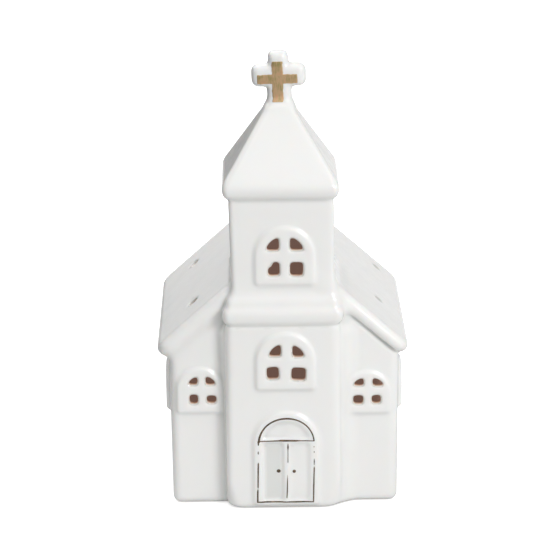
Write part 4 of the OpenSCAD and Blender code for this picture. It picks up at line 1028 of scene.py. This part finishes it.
def wire_pvc():
    """Soft PVC insulation: black and red to the battery, white and grey to the switch."""
    material, tree, shader, place = finish("soft_pvc_insulation", None, None, 0.3, 0.008, (0.35, 0.5))
    along = add_node(tree, "ShaderNodeSeparateXYZ", Vector=place).outputs["X"]
    share = add_node(tree, "ShaderNodeMapRange", {"From Min": -12.0, "From Max": 12.0}, Value=along)
    sleeves = [(0.0, "#262628"), (0.25, "#dedbd2"), (0.447, "#8d9094"), (0.7, "#a12c24")]
    colours = colour_ramp(tree, share.outputs["Result"], sleeves, hard=True)
    tree.links.new(colours, shader.inputs["Base Color"])
    return material


def light_unit():
    """The lamp that plugs into the floor: turned and drawn pieces are made anew, the rest gets its
    finish."""
    tin = tinned_wire()
    dress(moulded_abs(), "light_base", "battery_door")
    dress(board_laminate(), "circuit_board")
    dress(zinc_steel(), "board_screws", "door_screw")
    dress(tin, "led_leads")
    _, _, chip = in_mm("timer_chip")
    dress(chip_moulding(chip[0], 1.95), "timer_chip")
    dress(pressed_nickel("nickel_plated_case", (0.4, 6.0, 6.0)), "switch_case")
    dress(pressed_nickel("nickel_plated_contact", (6.0, 6.0, 0.4)), "spring_contact", "plate_contact")
    dress(knob_acetal(), "switch_knob")

    # The cover: a short upright side under a shallow dome, and a spigot that sits in the barrel
    low, high, middle = in_mm("frosted_cover")
    axis = np.array((middle[0], middle[1], 0))
    rim = (high[0] - low[0]) / 2
    spigot = rim - 1.9
    inner = spigot - 1.2

    def dome(r, side_top, top):
        big = (r * r + (top - side_top) ** 2) / (2 * (top - side_top))
        edge = math.degrees(math.acos(r / big))
        return arc(0, top - big, big, edge, 90, 28)[:-1]

    z = low[2]
    outline = [(inner, z), (spigot, z), (spigot, z + 3.3), (rim, z + 3.3)] + dome(rim, z + 7, high[2])
    outline += [(0, high[2]), (0, z + 15.8)] + dome(inner, z + 6.5, z + 15.8)[::-1]
    close_up(turned("frosted_lamp_cover", eased(outline, 0.3), [axis]), frosted_cover_plastic(),
             "light_unit", "frosted_plastic", "frosted_cover")

    # The ring: a flat band with two round ribs
    low, high, _ = in_mm("grip_ring")
    outer, inner, rib = (high[0] - low[0]) / 2, rim - 0.5, (high[2] - low[2]) / 4
    outline = [(inner, low[2])] + arc(outer - rib, low[2] + rib, rib, -90, 80)
    outline += arc(outer - rib, high[2] - rib, rib, -80, 90) + [(inner, high[2])]
    close_up(turned("rubber_grip_ring", outline, [axis]), grip_rubber(), "light_unit", "soft_rubber",
             "grip_ring")

    # The lamp: a flanged lens with its lead frame inside, one side a cup and the other a thin post
    low, high, middle = in_mm("led")
    x, y, z = middle[0], middle[1], low[2]
    flange, lens = 2.9, 2.5
    outline = [(0, z), (flange, z), (flange, z + 1), (lens, z + 1)]
    outline += arc(0, high[2] - lens, lens, 0, 90, 12)[:-1] + [(0, high[2])]
    close_up(turned("lamp_lens", eased(outline, 0.12), [(x, y, 0)], sides=64), lens_epoxy(), "light_unit",
             "led_lens", "led")
    cup = [(0, z + 2.6), (0.9, z + 2.6), (1.25, z + 3.9), (1.05, z + 3.9), (0.55, z + 3.1), (0, z + 3.1)]
    close_up(turned("lamp_cup", eased(cup, 0.05), [(x - 0.25, y, 0)], sides=40), tin, "light_unit",
             "tinned_leads")
    half_pitch, post = 1.27, 0.24
    cup_post = [(x - half_pitch, y, z + 0.1), (x - 1.2, y, z + 1.5), (x - 0.7, y, z + 2.7)]
    thin_post = [(x + half_pitch, y, z + 0.1), (x + half_pitch, y, z + 3.0), (x + 1.2, y, z + 3.9)]
    close_up(drawn("lamp_posts", [(cup_post, post), (thin_post, post)]), tin, "light_unit", "tinned_leads")

    # The resistor: a dipped body with round shoulders, and leads bent down through the board
    low, high, middle = in_mm("resistor")
    board_low, board_high, _ = in_mm("circuit_board")
    x, y, z = middle[0], middle[1], high[2] - 1.1
    half_length, half_span, bend = 2.8, 5.0, 0.55
    shoulder = [(half_length, 0), (2.75, 0.7), (2.35, 1.05), (1.9, 1.1), (1.45, 1.04), (1.2, 0.92)]
    body = [(r, -h) for h, r in shoulder] + [(r, h) for h, r in shoulder[::-1]]
    close_up(turned("resistor_body", eased(body, 0.3), [(x, y, z)], lying=True, sides=48),
             resistor_lacquer(x, 2 * half_length), "light_unit", "resistor_body", "resistor")
    leads = []
    for side in (-1, 1):
        bent = arc(half_span - bend, z - bend, bend, 90, 0)
        path = [(x + side * 2.6, y, z)] + [(x + side * r, y, h) for r, h in bent]
        path += [(x + side * half_span, y, board_high[2]), (x + side * half_span, y, low[2])]
        leads.append((path, 0.25))
    close_up(drawn("resistor_leads", leads), tin, "light_unit", "tinned_leads")

    # The cells: spun cans on their sides, each with a nylon ring between can and cap
    low, high, middle = in_mm("button_cells")
    r, tall = (high[2] - low[2]) / 2, (high[0] - low[0] - 0.3) / 3
    can = [(0, 0), (r, 0), (r, tall * 0.88), (r * 0.83, tall * 0.88), (r * 0.83, tall * 0.85),
           (r * 0.79, tall * 0.86), (r * 0.77, tall), (0, tall)]
    places = [(low[0] + i * (tall + 0.15), middle[1], middle[2]) for i in range(3)]
    close_up(turned("cell_cans", eased(can, 0.35), places, lying=True), cell_steel(middle[1], middle[2]),
             "light_unit", "cell_steel", "button_cells")
    ring = [(r * 0.78, tall * 0.85), (r * 0.83, tall * 0.85), (r * 0.825, tall * 0.9),
            (r * 0.785, tall * 0.92)]
    close_up(turned("cell_seals", eased(ring, 0.05), places, lying=True), knob_acetal(), "light_unit",
             "cell_steel")

    # Wires from the contacts' tabs and the switch's pins up through the board, their ends stripped
    row_y, ends = middle[1], []
    for contact in ("spring_contact", "plate_contact"):
        low, high, _ = in_mm(contact)
        ends.append(((low[0] + 0.2, row_y + 2.1, high[2] - 0.4), (low[0] + 0.2, row_y + 3)))
    _, high, middle = in_mm("switch_case")
    ends += [((x, middle[1], high[2] + 0.15), (x, middle[1] - 5)) for x in (-2.54, 0)]
    sleeves, bare, joints = [], [], []
    for (ax, ay, az), (dx, dy) in ends:
        rise = (board_low[2] - az) / 2
        curve = [(1 - t) ** 3 * np.array((ax, ay, az)) + 3 * t * (1 - t) ** 2 * np.array((ax, ay, az + rise))
                 + 3 * t * t * (1 - t) * np.array((dx, dy, board_low[2] - rise))
                 + t ** 3 * np.array((dx, dy, board_low[2])) for t in np.linspace(0, 1, 22)]
        sleeves.append((curve[2:], 0.45))
        bare.append((curve[:4], 0.26))
        bare.append(([curve[-2], curve[-1], (dx, dy, board_high[2] + 0.45)], 0.26))
        joints.append((dx, dy, board_high[2]))
    close_up(drawn("wire_sleeves", sleeves), wire_pvc(), "light_unit", "wire_insulation", "lead_wires")
    close_up(drawn("stripped_wire_ends", bare), tin, "light_unit", "tinned_leads")

    # Solder: a little tent round each wire on top of the board, and round each lead below it
    tent = [(0, 0), (0.95, 0), (0.8, 0.1), (0.45, 0.3), (0.32, 0.7), (0, 0.75)]
    close_up(turned("solder_above", tent, joints, sides=32), tin, "light_unit", "tinned_leads")
    _, _, lamp = in_mm("led")
    below = [(lamp[0] + side * half_pitch, lamp[1], board_low[2]) for side in (-1, 1)]
    _, _, middle = in_mm("resistor")
    below += [(middle[0] + side * half_span, middle[1], board_low[2]) for side in (-1, 1)]
    close_up(turned("solder_below", [(r, -h) for r, h in tent], below, sides=32), tin, "light_unit",
             "tinned_leads")


light_unit()


def camera():
    """The photograph's view, worked out from the corners and levels of the piece."""
    yaw, pitch, roll = 0.0103, 0.292, -0.0098
    across, before_front, height = -12.744, 1182.192, 462.989
    ahead = Vector((math.sin(yaw) * math.cos(pitch), math.cos(yaw) * math.cos(pitch), -math.sin(pitch)))
    right = Vector((math.cos(yaw), -math.sin(yaw), 0))
    up = right.cross(ahead)
    c, s = math.cos(roll), math.sin(roll)
    right, up = c * right + s * up, c * up - s * right
    data = bpy.data.cameras.new("photo_view")
    data.sensor_width = 36
    data.lens = 175.52
    data.clip_start, data.clip_end = 0.05, 20
    eye = bpy.data.objects.new("photo_view", data)
    turn = Matrix((right, up, -ahead)).transposed().to_4x4()
    eye.matrix_world = Matrix.Translation(Vector((across, NAVE_FRONT - before_front, height)) * MM) @ turn
    bpy.context.scene.collection.objects.link(eye)
    bpy.context.scene.camera = eye


def studio():
    """A pale plain floor, a white surround with a dark card at either side, a soft light in front and to
    the right, a broad one above and behind, and a small weak one overhead."""
    bpy.ops.mesh.primitive_plane_add(size=6, location=(0, 0, -0.0003))
    floor = bpy.context.object
    floor.name = "floor"
    material, tree, shader = new_material("pale_floor")
    # The camera sees one even tone. In reflections and for light the floor ends in shade at the left
    # and in front, and it is lit behind.
    place = add_node(tree, "ShaderNodeSeparateXYZ", Vector=place_in_mm(tree)).outputs
    left = add_node(tree, "ShaderNodeMapRange", {"From Min": -300.0, "From Max": -90.0}, Value=place["X"])
    front = add_node(tree, "ShaderNodeMapRange", {"From Min": -420.0, "From Max": -130.0, "To Min": 0.75},
                     Value=place["Y"])
    reach = add_node(tree, "ShaderNodeMath", {"operation": "MULTIPLY"}, _0=left.outputs["Result"],
                     _1=front.outputs["Result"])
    shade = colour_ramp(tree, reach.outputs[0], [(0.0, "#4c4c4c"), (1.0, "#d2d2d2")])
    seen = add_node(tree, "ShaderNodeLightPath").outputs["Is Camera Ray"]
    tone = add_node(tree, "ShaderNodeMix", {"data_type": "RGBA", "_7": hex_colour("#f4f4f4")},
                    _0=seen, _6=shade)
    tree.links.new(tone.outputs[2], shader.inputs["Base Color"])
    shader.inputs["Roughness"].default_value = 0.9
    shader.inputs["Specular IOR Level"].default_value = 0.0
    shader.inputs["Emission Color"].default_value = (1, 1, 1, 1)
    behind = add_node(tree, "ShaderNodeMapRange", {"From Min": 150.0, "From Max": 500.0, "To Max": 0.36},
                      Value=place["Y"])
    behind = add_node(tree, "ShaderNodeMath", {"operation": "MULTIPLY"}, _0=behind.outputs["Result"],
                      _1=left.outputs["Result"])
    lift = add_node(tree, "ShaderNodeMix", {"_3": 0.62}, _0=seen, _2=behind.outputs[0])
    tree.links.new(lift.outputs[0], shader.inputs["Emission Strength"])
    floor.data.materials.append(material)
    world = bpy.data.worlds.new("studio")
    bpy.context.scene.world = world
    world.use_nodes = True
    tree = world.node_tree
    back = tree.nodes["Background"]
    back.inputs["Color"].default_value = (1, 1, 1, 1)
    towards = add_node(tree, "ShaderNodeTexCoord").outputs["Generated"]
    # Over the whole surround the light grows towards the front, the right and the top
    level = add_node(tree, "ShaderNodeVectorMath", {"operation": "DOT_PRODUCT", "_1": (0.1, -0.24, 0.15)},
                     Vector=towards).outputs["Value"]
    # Patches of it: the direction of the middle, where it begins and is full, and the light it adds
    # outside and in its middle. Two are dark cards, at the left and the right, and one glows behind.
    for middle, begins, full, outside, inside in (((-0.87, 0.5, 0.0), 0.75, 0.93, 0.47, 0.05),
                                                  ((0.97, 0.25, 0.0), 0.8, 0.95, 0.0, -0.32),
                                                  ((0.0, 1.0, 0.0), 0.86, 0.96, 0.0, 0.5)):
        near = add_node(tree, "ShaderNodeVectorMath", {"operation": "DOT_PRODUCT", "_1": middle},
                        Vector=towards)
        patch = add_node(tree, "ShaderNodeMapRange",
                         {"From Min": begins, "From Max": full, "To Min": outside, "To Max": inside},
                         Value=near.outputs["Value"])
        level = add_node(tree, "ShaderNodeMath", {"operation": "ADD"}, _0=level,
                         _1=patch.outputs["Result"]).outputs[0]
    seen = add_node(tree, "ShaderNodeLightPath").outputs["Is Camera Ray"]
    either = add_node(tree, "ShaderNodeMix", {"_3": 1.0}, _0=seen, _2=level)
    tree.links.new(either.outputs[0], back.inputs["Strength"])
    for name, ahead, far, size, power in (("key", (0.5, -0.74, 0.42), 1.3, 0.45, 6.0),
                                          ("overhead", (-0.42, 0.52, 0.76), 1.1, 1.1, 5.5),
                                          ("front_overhead", (-0.1, -0.3, 0.95), 1.1, 0.35, 0.55)):
        lamp = bpy.data.lights.new(name, "AREA")
        lamp.shape, lamp.size, lamp.energy = "DISK", size, power
        holder = bpy.data.objects.new(name, lamp)
        middle = Vector((0, 0, 0.09))
        holder.location = middle + Vector(ahead) * far
        holder.rotation_euler = (middle - holder.location).to_track_quat("-Z", "Y").to_euler()
        bpy.context.scene.collection.objects.link(holder)
    bpy.context.scene.view_settings.view_transform = "Standard"


camera()
studio()
